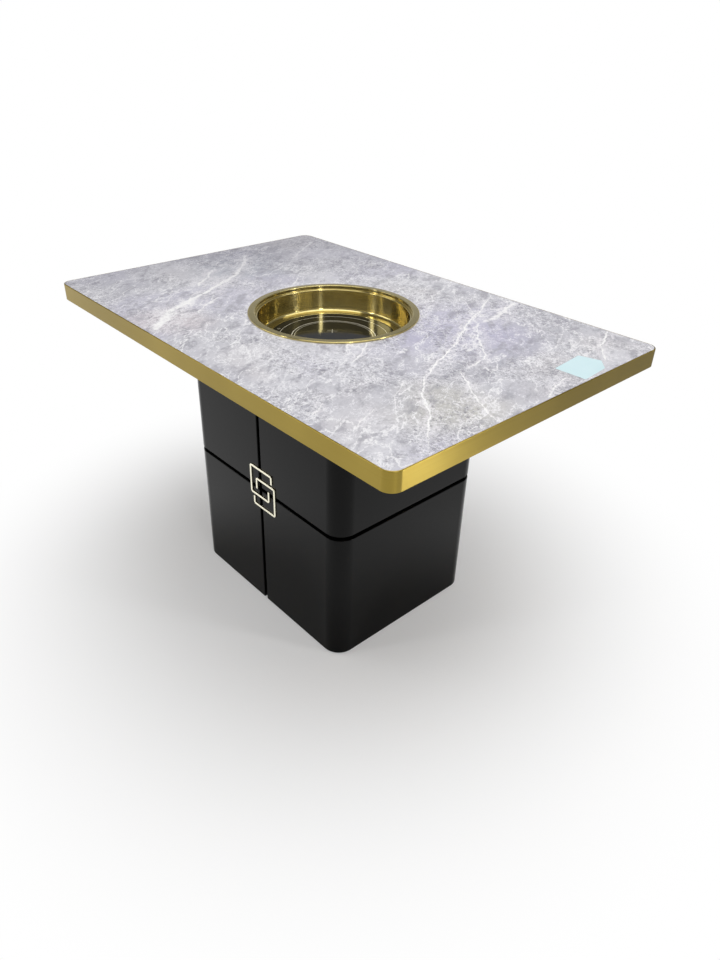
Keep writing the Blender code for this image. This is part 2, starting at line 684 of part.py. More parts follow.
def make_fret():
    half = FRET_BAR / 2
    path = [
        (FRET_TOP_REACH, FRET_TOP_STUB_END),
        (FRET_TOP_REACH, FRET_HIGH),
        (-FRET_OUTER_REACH, FRET_HIGH),
        (-FRET_OUTER_REACH, -FRET_LOW),
        (FRET_INNER_REACH, -FRET_LOW),
        (FRET_INNER_REACH, FRET_INNER_STUB_END),
    ]
    left, right = offset_path(path, half), offset_path(path, -half)
    back = FRONT_FACE - CLEARANCE
    for name, half_turn in (("fret_hook_upper", 0), ("fret_hook_lower", 180)):
        shape = extrude_outline(left + right[::-1], 0, FRET_DEPTH)
        turned(shape, half_turn)
        turned(shape, 90, "X")
        hook = add_object(name, moved(shape, (FRET_SIDE_SHIFT, back, WAIST_HEIGHT + FRET_RISE)), BRASS_BRUSHED)
        add_bevel(hook, 0.0008)


def offset_path(path, distance):
    """The path moved sideways, with mitred corners where it turns square."""
    made = []
    for i, (x, y) in enumerate(path):
        before = path[max(i - 1, 0)]
        after = path[min(i + 1, len(path) - 1)]
        shift_x = shift_y = 0.0
        for start, end in ((before, (x, y)), ((x, y), after)):
            run = math.hypot(end[0] - start[0], end[1] - start[1])
            if run == 0:
                continue
            normal = (-(end[1] - start[1]) / run, (end[0] - start[0]) / run)
            shift_x = shift_x or normal[0]
            shift_y = shift_y or normal[1]
        made.append((x + distance * shift_x, y + distance * shift_y))
    return made


# Pot well: a spun wall with a beaded rim, brazed to a pressed pan with a ledge for the cooker


def well_wall_face():
    """The upper face of the spun sheet: rim, lid step and wall, from the outside in."""
    step_height = RIM_TOP - LID_STEP_DEPTH
    face = [(RIM_RADIUS, TABLE_HEIGHT + CLEARANCE)]
    for edge, height, start, end in (
        (RIM_RADIUS - RIM_ROUND, RIM_TOP, 0, 90),
        (STEP_EDGE_RADIUS + RIM_ROUND, RIM_TOP, 90, 180),
    ):
        face += arc_points((edge, height - RIM_ROUND), RIM_ROUND, start, end, ROLL_STEPS)
    face.append((STEP_EDGE_RADIUS, step_height))
    face += arc_points((WELL_RADIUS + RIM_ROUND, step_height - RIM_ROUND), RIM_ROUND, 90, 180, ROLL_STEPS)
    face.append((WELL_FOOT_RADIUS, WELL_FLOOR + WELL_FILLET))
    return face


def well_pan_face():
    """The upper face of the pressed floor: fillet, floor ring and the ledge round the cooker's opening."""
    centre = (WELL_FOOT_RADIUS - WELL_FILLET, WELL_FLOOR + WELL_FILLET)
    face = arc_points(centre, WELL_FILLET, 0, -90)
    face[0] = (face[0][0], face[0][1] - CLEARANCE)
    face.append((LEDGE_RADIUS, WELL_FLOOR))
    face.append((LEDGE_RADIUS, LEDGE_TOP))
    face.append((LEDGE_OPENING, LEDGE_TOP))
    return face


def make_well():
    for name, face in (("well_wall", well_wall_face()), ("well_pan", well_pan_face())):
        under = offset_profile(face, WELL_SHEET)
        add_object(name, turn_ring(face + under[::-1]), BRASS_POLISHED)
    gasket_outer = RIM_RADIUS - WELL_SHEET - 2 * CLEARANCE
    gasket = tube(gasket_outer, gasket_outer - GASKET_WIDTH, GASKET_BOTTOM, GASKET_TOP, ROUND_STEPS)
    add_object("well_gasket", gasket, RUBBER)


def offset_profile(face, sheet):
    """The under face of a sheet: each point moved square to the face by the sheet's thickness."""
    made = []
    for i, point in enumerate(face):
        before = face[max(i - 1, 0)]
        after = face[min(i + 1, len(face) - 1)]
        made.append(mitre(before, point, after, sheet))
    return made


def mitre(before, point, after, distance):
    normals = []
    for start, end in ((before, point), (point, after)):
        run = math.hypot(end[0] - start[0], end[1] - start[1])
        if run > 1e-9:
            normals.append(((end[1] - start[1]) / -run, (end[0] - start[0]) / run))
    first, last = normals[0], normals[-1]
    mean = (first[0] + last[0], first[1] + last[1])
    scale = distance * 2 / (mean[0] ** 2 + mean[1] ** 2)
    return (point[0] + mean[0] * scale, point[1] + mean[1] * scale)


# Drop-in induction cooker


def make_cooker_glass():
    edge = GLASS_EDGE_BEVEL
    profile = [
        (0, GLASS_TOP),
        (GLASS_RADIUS - edge, GLASS_TOP),
        (GLASS_RADIUS, GLASS_TOP - edge),
        (GLASS_RADIUS, GLASS_BOTTOM),
        (0, GLASS_BOTTOM),
    ]
    add_object("cooker_glass", turn_solid(profile, ROUND_STEPS), BLACK_GLASS)


def make_cooker_housing():
    """A moulded tub with a flange, fan inlet slots below, exhaust slots in the wall and board stand-offs."""
    inner = HOUSING_RADIUS - HOUSING_WALL
    profile = [
        (inner, COOKER_FLANGE_TOP),
        (COOKER_FLANGE_RADIUS, COOKER_FLANGE_TOP),
        (COOKER_FLANGE_RADIUS, COOKER_FLANGE_BOTTOM),
        (HOUSING_RADIUS, COOKER_FLANGE_BOTTOM),
        (HOUSING_RADIUS, HOUSING_BOTTOM + HOUSING_FOOT_BEVEL),
        (HOUSING_RADIUS - HOUSING_FOOT_BEVEL, HOUSING_BOTTOM),
        (0, HOUSING_BOTTOM),
    ]
    inside = [
        (0, HOUSING_FLOOR),
        (HOUSING_RADIUS - HOUSING_FOOT_BEVEL - HOUSING_WALL / 2, HOUSING_FLOOR),
        (inner, HOUSING_BOTTOM + HOUSING_FOOT_BEVEL),
    ]
    housing = add_object("cooker_housing", turn_solid(inside + profile, ROUND_STEPS), DARK_PLASTIC)
    for number in range(INLET_SLOT_COUNT):
        cut(housing, add_object(f"tool_inlet_{number + 1}", inlet_slot(number)))
    for number in range(EXHAUST_SLOT_COUNT):
        cut(housing, add_object(f"tool_exhaust_{number + 1}", exhaust_slot(number)))
    for number, (x, y) in enumerate(standoff_places(), 1):
        boss = cylinder(STANDOFF_RADIUS, HOUSING_FLOOR - HOUSING_WALL / 2, HOUSING_FLOOR + BOARD_STANDOFF, 12)
        join_with(housing, add_object(f"tool_standoff_{number}", moved(boss, (x, y, 0))))
    bore = gland_shape(cylinder(GLAND_RADIUS + CLEARANCE, -CUT_PAST, CUT_PAST, 16))
    cut(housing, add_object("tool_gland_hole", bore))


def inlet_slot(number):
    """One of the parallel slots under the fan, as long as the fan's bore is wide there."""
    pitch = 2 * FAN_BORE_RADIUS / INLET_SLOT_COUNT
    offset = (number - (INLET_SLOT_COUNT - 1) / 2) * pitch
    half_length = math.sqrt(FAN_BORE_RADIUS**2 - offset**2) * 0.9
    low = (-FAN_OFFSET + offset - INLET_SLOT_WIDTH / 2, -half_length, HOUSING_BOTTOM - CUT_PAST)
    high = (-FAN_OFFSET + offset + INLET_SLOT_WIDTH / 2, half_length, HOUSING_FLOOR + HOUSING_WALL)
    return box(low, high)


def exhaust_slot(number):
    """One of the upright slots in the wall beside the heat sink."""
    angle = (number - (EXHAUST_SLOT_COUNT - 1) / 2) * EXHAUST_SLOT_STEP
    middle = (HOUSING_FLOOR + COOKER_FLANGE_BOTTOM) / 2
    low = (HOUSING_RADIUS - CUT_PAST, -EXHAUST_SLOT_WIDTH / 2, middle - EXHAUST_SLOT_HEIGHT / 2)
    high = (HOUSING_RADIUS + CUT_PAST, EXHAUST_SLOT_WIDTH / 2, middle + EXHAUST_SLOT_HEIGHT / 2)
    return turned(box(low, high), angle)


def standoff_places():
    reach_x = BOARD_LENGTH / 2 - STANDOFF_MARGIN
    reach_y = BOARD_WIDTH / 2 - STANDOFF_MARGIN
    return [(BOARD_OFFSET + x, y) for x in (-reach_x, reach_x) for y in (-reach_y, reach_y)]


def gland_shape(shape):
    """Turns a shape that was made upwards over, so that it points down out of the housing's floor."""
    turned(shape, 180, "X")
    return moved(shape, (0, GLAND_OFFSET, HOUSING_BOTTOM))


def make_cable_gland():
    nut_reach = GLAND_NUT_WIDTH / math.sqrt(3)
    hexagon = [
        (nut_reach * math.cos(math.radians(60 * i)), nut_reach * math.sin(math.radians(60 * i)))
        for i in range(6)
    ]
    nut = gland_shape(extrude_outline(hexagon, CLEARANCE, GLAND_NUT_LENGTH))
    gland = add_object("cable_gland", nut, DARK_PLASTIC)
    barrel = gland_shape(cylinder(GLAND_RADIUS, -HOUSING_WALL * 2, GLAND_TAIL, 16))
    join_with(gland, add_object("tool_gland_barrel", barrel))
    bore = gland_shape(cylinder(GLAND_BORE_RADIUS, -CUT_PAST, GLAND_TAIL + CUT_PAST, 16))
    cut(gland, add_object("tool_gland_bore", bore))


def make_fan():
    half = FAN_SIZE / 2
    outline = rounded_rectangle(FAN_SIZE, FAN_SIZE, half / 8, 3)
    frame_shape = extrude_outline(outline, FAN_BOTTOM, FAN_BOTTOM + FAN_DEPTH)
    frame = add_object("fan_frame", moved(frame_shape, (-FAN_OFFSET, 0, 0)), DARK_PLASTIC)
    bore = cylinder(FAN_BORE_RADIUS, FAN_BOTTOM - CUT_PAST, FAN_BOTTOM + FAN_DEPTH + CUT_PAST, 32)
    cut(frame, add_object("tool_fan_bore", moved(bore, (-FAN_OFFSET, 0, 0))))
    spoke_reach = FAN_BORE_RADIUS + JOIN_DEPTH * 2
    for number in range(2):
        spoke = box(
            (-spoke_reach, -FAN_SPOKE_WIDTH / 2, FAN_BOTTOM),
            (spoke_reach, FAN_SPOKE_WIDTH / 2, FAN_BOTTOM + FAN_SPOKE_HEIGHT),
        )
        turned(spoke, 45 + 90 * number)
        join_with(frame, add_object(f"tool_fan_spoke_{number + 1}", moved(spoke, (-FAN_OFFSET, 0, 0))))
    cup_top = FAN_BOTTOM + FAN_SPOKE_HEIGHT
    profile = [
        (0, cup_top + FAN_SHAFT_LENGTH),
        (FAN_SHAFT_RADIUS, cup_top + FAN_SHAFT_LENGTH),
        (FAN_SHAFT_RADIUS, cup_top),
        (FAN_HUB_RADIUS, cup_top),
        (FAN_HUB_RADIUS, FAN_BOTTOM),
        (0, FAN_BOTTOM),
    ]
    cup = moved(turn_solid(profile, 16), (-FAN_OFFSET, 0, 0))
    join_with(frame, add_object("tool_fan_cup", cup))
    make_fan_rotor(cup_top + CLEARANCE)


def make_fan_rotor(bottom):
    """A hub with pitched blades, running on the frame's shaft."""
    top = FAN_BOTTOM + FAN_DEPTH - CLEARANCE
    bore_radius = FAN_SHAFT_RADIUS + CLEARANCE
    bore_top = bottom + FAN_SHAFT_LENGTH
    profile = [
        (0, top),
        (FAN_HUB_RADIUS, top),
        (FAN_HUB_RADIUS, bottom),
        (bore_radius, bottom),
        (bore_radius, bore_top),
        (0, bore_top),
    ]
    hub = moved(turn_solid(profile, SMALL_STEPS), (-FAN_OFFSET, 0, 0))
    rotor = add_object("fan_rotor", hub, DARK_PLASTIC)
    set_origin(rotor, (-FAN_OFFSET, 0.0, 0.0))
    tip = FAN_BORE_RADIUS - FAN_TIP_GAP
    middle = (bottom + top) / 2
    chord = (top - bottom) * 0.8 / math.sin(math.radians(FAN_BLADE_PITCH))
    for number in range(FAN_BLADE_COUNT):
        root = FAN_HUB_RADIUS - JOIN_DEPTH * 4
        blade = box(
            (root, -chord / 2, -FAN_BLADE_THICKNESS / 2),
            (tip * math.cos(chord / 2 / tip), chord / 2, FAN_BLADE_THICKNESS / 2),
        )
        turned(blade, FAN_BLADE_PITCH, "X")
        moved(blade, (0, 0, middle))
        turned(blade, 360 * number / FAN_BLADE_COUNT)
        join_with(rotor, add_object(f"tool_blade_{number + 1}", moved(blade, (-FAN_OFFSET, 0, 0))))


def make_power_board():
    low = (BOARD_OFFSET - BOARD_LENGTH / 2, -BOARD_WIDTH / 2, BOARD_BOTTOM)
    high = (BOARD_OFFSET + BOARD_LENGTH / 2, BOARD_WIDTH / 2, BOARD_TOP)
    add_object("power_board", box(low, high), BOARD_GREEN)
    seat = BOARD_TOP + CLEARANCE

    length, width, height = CAPACITOR_SIZE
    x, y = CAPACITOR_PLACE
    block = box((x - length / 2, y - width / 2, seat), (x + length / 2, y + width / 2, seat + height))
    add_bevel(add_object("filter_capacitor", block, GREY_PLASTIC), 0.001)

    x, y = CHOKE_PLACE
    ring_height = seat + CHOKE_WIRE_RADIUS
    profile = arc_points((CHOKE_RADIUS, ring_height), CHOKE_WIRE_RADIUS, 0, 360, 8)[:-1]
    add_object("power_choke", moved(turn_ring(profile, SMALL_STEPS), (x, y, 0)), COPPER)
    make_heat_sink(seat)


def make_heat_sink(seat):
    """An extruded block with upright fins."""
    x, y = HEATSINK_PLACE
    foot = box(
        (x - HEATSINK_WIDTH / 2, y - HEATSINK_LENGTH / 2, seat),
        (x + HEATSINK_WIDTH / 2, y + HEATSINK_LENGTH / 2, seat + HEATSINK_HEIGHT),
    )
    sink = add_object("heat_sink", foot, ALUMINIUM)
    pitch = (HEATSINK_WIDTH - FIN_THICKNESS) / (FIN_COUNT - 1)
    for number in range(FIN_COUNT - 1):
        start = x - HEATSINK_WIDTH / 2 + FIN_THICKNESS + number * pitch
        end = start + pitch - FIN_THICKNESS
        reach = HEATSINK_LENGTH / 2 + CUT_PAST
        fin_top = seat + HEATSINK_HEIGHT + CUT_PAST
        gap = box((start, y - reach, seat + HEATSINK_FOOT), (end, y + reach, fin_top))
        cut(sink, add_object(f"tool_fin_gap_{number + 1}", gap))


def make_coil_tray():
    """A disc on four legs that holds the winding close under the glass."""
    disc = tube(TRAY_RADIUS, TRAY_HOLE_RADIUS, TRAY_BOTTOM, TRAY_TOP, ROUND_STEPS)
    tray = add_object("coil_tray", disc, GREY_PLASTIC)
    for number in range(4):
        angle = 45 + 90 * number
        arm = box(
            (TRAY_RADIUS - TRAY_ARM_WIDTH, -TRAY_ARM_WIDTH / 2, TRAY_BOTTOM),
            (TRAY_LEG_CIRCLE, TRAY_ARM_WIDTH / 2, TRAY_TOP),
        )
        join_with(tray, add_object(f"tool_tray_arm_{number + 1}", turned(arm, angle)))
        leg = cylinder(TRAY_LEG_RADIUS, HOUSING_FLOOR + CLEARANCE, TRAY_TOP - JOIN_DEPTH, 12)
        moved(leg, (TRAY_LEG_CIRCLE - TRAY_LEG_RADIUS, 0, 0))
        join_with(tray, add_object(f"tool_tray_leg_{number + 1}", turned(leg, angle)))
    for number in range(FERRITE_COUNT):
        bar = box(
            (FERRITE_START, -FERRITE_WIDTH / 2, TRAY_BOTTOM - CLEARANCE - FERRITE_HEIGHT),
            (FERRITE_START + FERRITE_LENGTH, FERRITE_WIDTH / 2, TRAY_BOTTOM - CLEARANCE),
        )
        add_object(f"ferrite_bar_{number + 1}", turned(bar, 360 * number / FERRITE_COUNT + 30), FERRITE)


def coil_points():
    """The winding's centre line: a flat spiral from the inside out."""
    points = []
    for step in range(COIL_TURNS * COIL_POINTS_PER_TURN + 1):
        turn = step / COIL_POINTS_PER_TURN
        radius = COIL_INNER_RADIUS + COIL_PITCH * turn
        angle = 2 * math.pi * turn
        points.append((radius * math.cos(angle), radius * math.sin(angle), COIL_HEIGHT))
    return points


def make_coil():
    points = coil_points()
    line = bpy.data.curves.new("induction_coil", "CURVE")
    line.dimensions = "3D"
    line.bevel_depth = COIL_WIRE_RADIUS
    line.bevel_resolution = 1
    line.use_fill_caps = True
    spline = line.splines.new("POLY")
    spline.points.add(len(points) - 1)
    for target, place in zip(spline.points, points):
        target.co = (*place, 1.0)
    line.materials.append(COPPER)
    coil = bpy.data.objects.new("induction_coil", line)
    bpy.context.scene.collection.objects.link(coil)
    print(f"induction_coil: least gap between turns {least_coil_gap(points) * 1000:.2f} mm")


def least_coil_gap(points):
    """The least distance between the surfaces of neighbouring turns."""
    least = math.inf
    for i, first in enumerate(points):
        for second in points[i + COIL_POINTS_PER_TURN // 2 :]:
            least = min(least, math.dist(first, second))
    return least - 2 * COIL_WIRE_RADIUS


def make_heat_sensor():
    """A thermostat cap in the middle of the coil, on a stem that stands in the tray's hole."""
    cap_top = GLASS_BOTTOM - CLEARANCE
    cap_bottom = TRAY_TOP + CLEARANCE
    profile = [
        (0, cap_top),
        (SENSOR_RADIUS, cap_top),
        (SENSOR_RADIUS, cap_bottom + TRAY_THICKNESS / 2),
        (SENSOR_COLLAR_RADIUS, cap_bottom + TRAY_THICKNESS / 2),
        (SENSOR_COLLAR_RADIUS, cap_bottom),
        (SENSOR_STEM_RADIUS, cap_bottom),
        (SENSOR_STEM_RADIUS, TRAY_BOTTOM - TRAY_THICKNESS),
        (0, TRAY_BOTTOM - TRAY_THICKNESS),
    ]
    add_object("heat_sensor", turn_solid(profile, SMALL_STEPS), GREY_PLASTIC)


clear_scene()
STONE = finish_material("grey_marble", (0.55, 0.54, 0.58), 0.25)
PLYWOOD = finish_material("birch_plywood", (0.62, 0.48, 0.32), 0.7)
BRASS_BRUSHED = finish_material("brushed_brass_steel", (0.60, 0.44, 0.14), 0.32, 1.0)
BRASS_POLISHED = finish_material("polished_brass_steel", (0.66, 0.50, 0.18), 0.14, 1.0)
LACQUER = finish_material("black_lacquer", (0.02, 0.02, 0.019), 0.3)
DARK_BOARD = finish_material("black_stained_board", (0.006, 0.006, 0.006), 0.7)
BLACK_GLASS = finish_material("black_ceramic_glass", (0.012, 0.012, 0.013), 0.06)
DARK_PLASTIC = finish_material("dark_plastic", (0.03, 0.03, 0.03), 0.5)
GREY_PLASTIC = finish_material("grey_plastic", (0.35, 0.35, 0.35), 0.5)
RUBBER = finish_material("black_rubber", (0.02, 0.02, 0.02), 0.8)
STEEL = finish_material("plated_steel", (0.6, 0.6, 0.6), 0.35, 1.0)
ALUMINIUM = finish_material("bare_aluminium", (0.75, 0.75, 0.76), 0.4, 1.0)
COPPER = finish_material("enamelled_copper", (0.55, 0.22, 0.08), 0.35, 1.0)
FERRITE = finish_material("ferrite", (0.05, 0.05, 0.055), 0.6)
BOARD_GREEN = finish_material("circuit_board", (0.03, 0.16, 0.06), 0.5)

make_table_top()
make_shells()
make_carcass()
make_feet()
make_door()
make_hinges()
make_catch()
make_fret()
make_well()
make_cooker_glass()
make_cooker_housing()
make_cable_gland()
make_fan()
make_power_board()
make_coil_tray()
make_coil()
make_heat_sensor()
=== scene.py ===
import math

import bmesh
import bpy
from mathutils import Matrix, Vector


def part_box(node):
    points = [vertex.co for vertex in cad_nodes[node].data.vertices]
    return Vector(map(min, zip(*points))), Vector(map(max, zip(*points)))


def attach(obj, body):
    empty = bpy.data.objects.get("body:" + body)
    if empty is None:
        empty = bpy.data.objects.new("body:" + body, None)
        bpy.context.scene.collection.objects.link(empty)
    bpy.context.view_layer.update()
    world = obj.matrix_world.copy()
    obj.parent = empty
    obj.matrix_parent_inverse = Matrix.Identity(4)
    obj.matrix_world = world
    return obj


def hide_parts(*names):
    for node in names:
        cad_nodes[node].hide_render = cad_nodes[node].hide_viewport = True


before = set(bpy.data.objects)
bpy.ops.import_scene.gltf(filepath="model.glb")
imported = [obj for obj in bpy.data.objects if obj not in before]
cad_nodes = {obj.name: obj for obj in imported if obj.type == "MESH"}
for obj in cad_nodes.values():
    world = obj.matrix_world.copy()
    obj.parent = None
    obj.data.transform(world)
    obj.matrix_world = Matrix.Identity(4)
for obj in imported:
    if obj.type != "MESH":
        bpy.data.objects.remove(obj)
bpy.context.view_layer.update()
scene = bpy.context.scene
scene.view_settings.view_transform = "Standard"


# Camera. It stands off the corner between the front and the right-hand side, above the top, and was fitted
# to the table's straight edges. The optical centre lies a little off the middle of the picture.
picture_width, picture_height = 720, 960
focal_pixels = 728.3
optical_centre = (346.3, 466.1)
sensor_height = 36.0
camera_place = (1.2399, -1.0707, 1.3296)
camera_turn, camera_dip, camera_roll = (math.radians(angle) for angle in (47.90, 31.44, 1.23))
camera_data = bpy.data.cameras.new("camera")
camera_data.sensor_fit = "VERTICAL"
camera_data.sensor_height = sensor_height
camera_data.lens = sensor_height * focal_pixels / picture_height
camera_data.shift_x = (picture_width / 2 - optical_centre[0]) / picture_height
camera_data.shift_y = (optical_centre[1] - picture_height / 2) / picture_height
camera = bpy.data.objects.new("camera", camera_data)
scene.collection.objects.link(camera)
facing = (
    Matrix.Rotation(camera_turn, 4, "Z")
    @ Matrix.Rotation(math.radians(90) - camera_dip, 4, "X")
    @ Matrix.Rotation(camera_roll, 4, "Z")
)
camera.matrix_world = Matrix.Translation(camera_place) @ facing
scene.camera = camera


# Studio. A wide pale floor that fades to white away from the table, a surround that is white round the
# horizon and greyer overhead, a large softbox over the table and four smaller ones round it. In reflections
# the floor whitens nearer to the base and greys off behind the table.
floor_size, floor_roughness = 60, 0.9
floor_tone = (0.93, 0.93, 0.93, 1)
horizon_tone = (1.0, 1.0, 1.0, 1)
ceiling_tone = (0.26, 0.26, 0.27, 1)
horizon_top, ceiling_start = 0.17, 0.40
fade_near, fade_far = 0.35, 1.15
mirrored_near, mirrored_far = 0.33, 0.70
dim_near, dim_far, dim_level = 0.4, 2.3, 0.35
surround_light = 0.25
floor_lift = 0.25


class Finish:
    """The nodes of a material, or of the world, built up step by step from coordinates in metres."""

    def __init__(self, name, world=None):
        self.material = bpy.data.materials.new(name) if world is None else world
        self.material.use_nodes = True
        self.tree = self.material.node_tree
        self.shader = self.tree.nodes["Principled BSDF" if world is None else "Background"]

    def add(self, kind, **settings):
        made = self.tree.nodes.new(kind)
        for name, value in settings.items():
            setattr(made, name, value)
        return made

    def feed(self, socket, value):
        if isinstance(value, bpy.types.NodeSocket):
            self.tree.links.new(value, socket)
        else:
            socket.default_value = value

    def place(self, scale=(1, 1, 1), turn=(0, 0, 0)):
        """Object coordinates, turned by degrees, then scaled."""
        spot = self.add("ShaderNodeTexCoord").outputs["Object"]
        if turn != (0, 0, 0):
            turned = self.add("ShaderNodeMapping")
            self.feed(turned.inputs["Vector"], spot)
            turned.inputs["Rotation"].default_value = [math.radians(angle) for angle in turn]
            spot = turned.outputs[0]
        if scale != (1, 1, 1):
            scaled = self.add("ShaderNodeMapping")
            self.feed(scaled.inputs["Vector"], spot)
            scaled.inputs["Scale"].default_value = scale
            spot = scaled.outputs[0]
        return spot

    def looked_at(self):
        """Whether the camera looks straight at this, and whether it does so or through a mirror or glass."""
        rays = self.add("ShaderNodeLightPath").outputs
        in_picture = rays["Is Camera Ray"]
        return in_picture, self.most([in_picture, rays["Is Glossy Ray"], rays["Is Transmission Ray"]])

    def maths(self, operation, *values):
        made = self.add("ShaderNodeMath", operation=operation)
        for socket, value in zip(made.inputs, values):
            self.feed(socket, value)
        return made.outputs[0]

    def times(self, first, second):
        return self.maths("MULTIPLY", first, second)

    def apart(self, first, second):
        """How far two values lie from each other."""
        return self.maths("ABSOLUTE", self.maths("SUBTRACT", first, second))

    def most(self, values):
        """The largest of several values."""
        largest = values[0]
        for value in values[1:]:
            largest = self.maths("MAXIMUM", largest, value)
        return largest

    def vectors(self, operation, *values):
        made = self.add("ShaderNodeVectorMath", operation=operation)
        for socket, value in zip(made.inputs, values):
            self.feed(socket, value)
        return made.outputs["Value" if operation in ("DOT_PRODUCT", "LENGTH", "DISTANCE") else "Vector"]

    def parts(self, vector):
        made = self.add("ShaderNodeSeparateXYZ")
        self.feed(made.inputs[0], vector)
        return made.outputs

    def from_axis(self, spot):
        """How far a place, given as its parts, lies from the table's upright axis."""
        squares = (self.times(spot[side], spot[side]) for side in ("X", "Y"))
        return self.maths("SQRT", self.maths("ADD", *squares))

    def noise(self, place, scale, detail=3.0, roughness=0.55, wanted="Fac"):
        made = self.add("ShaderNodeTexNoise")
        self.feed(made.inputs["Vector"], place)
        made.inputs["Scale"].default_value = scale
        made.inputs["Detail"].default_value = detail
        made.inputs["Roughness"].default_value = roughness
        return made.outputs[wanted]

    def warped(self, place, scale, amount):
        """A place pushed about by noise, so that what is drawn on it wanders."""
        push = self.vectors("SUBTRACT", self.noise(place, scale, wanted="Color"), (0.5, 0.5, 0.5))
        return self.vectors("MULTIPLY_ADD", push, (amount, amount, amount), place)

    def spread(self, value, low, high, to_low=0.0, to_high=1.0, smooth=True):
        """A value that runs from low to high, made to run between two others and held there."""
        made = self.add("ShaderNodeMapRange", interpolation_type="SMOOTHSTEP" if smooth else "LINEAR")
        self.feed(made.inputs["Value"], value)
        self.feed(made.inputs["From Min"], low)
        self.feed(made.inputs["From Max"], high)
        self.feed(made.inputs["To Min"], to_low)
        self.feed(made.inputs["To Max"], to_high)
        return made.outputs["Result"]

    def blend(self, amount, first, second, mode="MIX"):
        made = self.add("ShaderNodeMix", data_type="RGBA", blend_type=mode)
        self.feed(made.inputs["Factor"], amount)
        self.feed(made.inputs[6], first)
        self.feed(made.inputs[7], second)
        return made.outputs[2]

    def bump(self, height, distance, strength):
        made = self.add("ShaderNodeBump")
        made.inputs["Distance"].default_value = distance
        made.inputs["Strength"].default_value = strength
        self.feed(made.inputs["Height"], height)
        self.feed(self.shader.inputs["Normal"], made.outputs["Normal"])

    def surface(self, **sockets):
        for name, value in sockets.items():
            self.feed(self.shader.inputs[name.replace("_", " ")], value)


bpy.ops.object.select_all(action="DESELECT")
bpy.ops.mesh.primitive_plane_add(size=floor_size)
floor = bpy.context.object
floor.name = "studio_floor"
ground = Finish("studio_floor")
ground.surface(Base_Color=floor_tone, Roughness=floor_roughness, Specular_IOR_Level=0.0)
floor.data.materials.append(ground.material)
floor_spot = ground.place()
floor_in_picture, floor_seen = ground.looked_at()


def seen_as(in_the_picture, in_a_mirror):
    """A value of the floor that is one number in the picture and another in a reflection."""
    return ground.maths("MULTIPLY_ADD", floor_in_picture, in_the_picture - in_a_mirror, in_a_mirror)


fade = ground.spread(
    ground.vectors("LENGTH", floor_spot),
    seen_as(fade_near, mirrored_near),
    seen_as(fade_far, mirrored_far),
    seen_as(floor_lift, 0.0),
)
dimmed = ground.spread(ground.parts(floor_spot)["Y"], dim_near, dim_far, 1.0, dim_level, smooth=False)
backdrop = ground.add("ShaderNodeEmission")
ground.feed(backdrop.inputs["Strength"], ground.maths("MAXIMUM", dimmed, floor_in_picture))
floor_mix = ground.add("ShaderNodeMixShader")
ground.feed(floor_mix.inputs["Fac"], ground.times(floor_seen, fade))
ground.feed(floor_mix.inputs[1], ground.shader.outputs[0])
ground.feed(floor_mix.inputs[2], backdrop.outputs[0])
ground.feed(ground.tree.nodes["Material Output"].inputs["Surface"], floor_mix.outputs[0])

scene.world = bpy.data.worlds.new("studio_surround")
sky = Finish("studio_surround", scene.world)
sky_grade = sky.add("ShaderNodeValToRGB")
sky_grade.color_ramp.interpolation = "EASE"
sky_stops = sky_grade.color_ramp.elements
sky_stops[0].position, sky_stops[0].color = horizon_top, horizon_tone
sky_stops[1].position, sky_stops[1].color = ceiling_start, ceiling_tone
sky.feed(sky_grade.inputs["Fac"], sky.parts(sky.add("ShaderNodeTexCoord").outputs["Generated"])["Z"])
sky_in_picture, sky_seen = sky.looked_at()
sky.surface(
    Color=sky.blend(sky_in_picture, sky_grade.outputs["Color"], horizon_tone),
    Strength=sky.spread(sky_seen, 0.0, 1.0, surround_light, 1.0, smooth=False),
)


def hang_softbox(name, place, aim, width, height, power):
    """An area lamp at a place, turned to face an aim point."""
    data = bpy.data.lights.new(name, "AREA")
    data.shape = "RECTANGLE"
    data.size, data.size_y, data.energy = width, height, power
    lamp = bpy.data.objects.new(name, data)
    lamp.visible_camera = False
    scene.collection.objects.link(lamp)
    lamp.matrix_world = Matrix.Translation(place) @ (
        (Vector(place) - Vector(aim)).to_track_quat("Z", "Y").to_matrix().to_4x4()
    )


hang_softbox("softbox_over", (0.35, 0.10, 2.5), (0.10, 0.0, 0.75), 2.6, 2.2, 41)
hang_softbox("softbox_front", (-0.9, -2.6, 2.1), (0, 0, 0.7), 0.26, 1.2, 11)
hang_softbox("softbox_side", (2.9, -1.0, 2.2), (0, 0, 0.7), 0.26, 1.2, 11)
hang_softbox("softbox_left", (-1.9, -1.9, 2.1), (0, 0, 0.7), 1.4, 1.0, 14)
hang_softbox("softbox_right", (2.20, 0.93, 0.8), (0.6, -0.36, 0.7), 0.30, 1.2, 15)


# Levelling feet. Four black rubber discs moulded round the heads of steel studs, which screw up through the
# bottom plate into hexagon nuts. They carry the table a few millimetres clear of the floor.
foot_height, neck_radius, cushion_height, foot_edge_round = 0.010, 0.012, 0.003, 0.0012
stud_radius, stud_chamfer = 0.005, 0.001
thread_pitch, thread_depth, thread_start, plain_length = 0.0015, 0.0006, 0.002, 0.004
foot_steps, foot_smooth = 40, 28
same_spot = 1e-6


def tone(red, green, blue):
    """A colour given as it looks on a screen, 0 to 255, turned into the light values that nodes use."""
    shown = [part / 255 for part in (red, green, blue)]
    light = [part / 12.92 if part < 0.04045 else ((part + 0.055) / 1.055) ** 2.4 for part in shown]
    return (*light, 1.0)


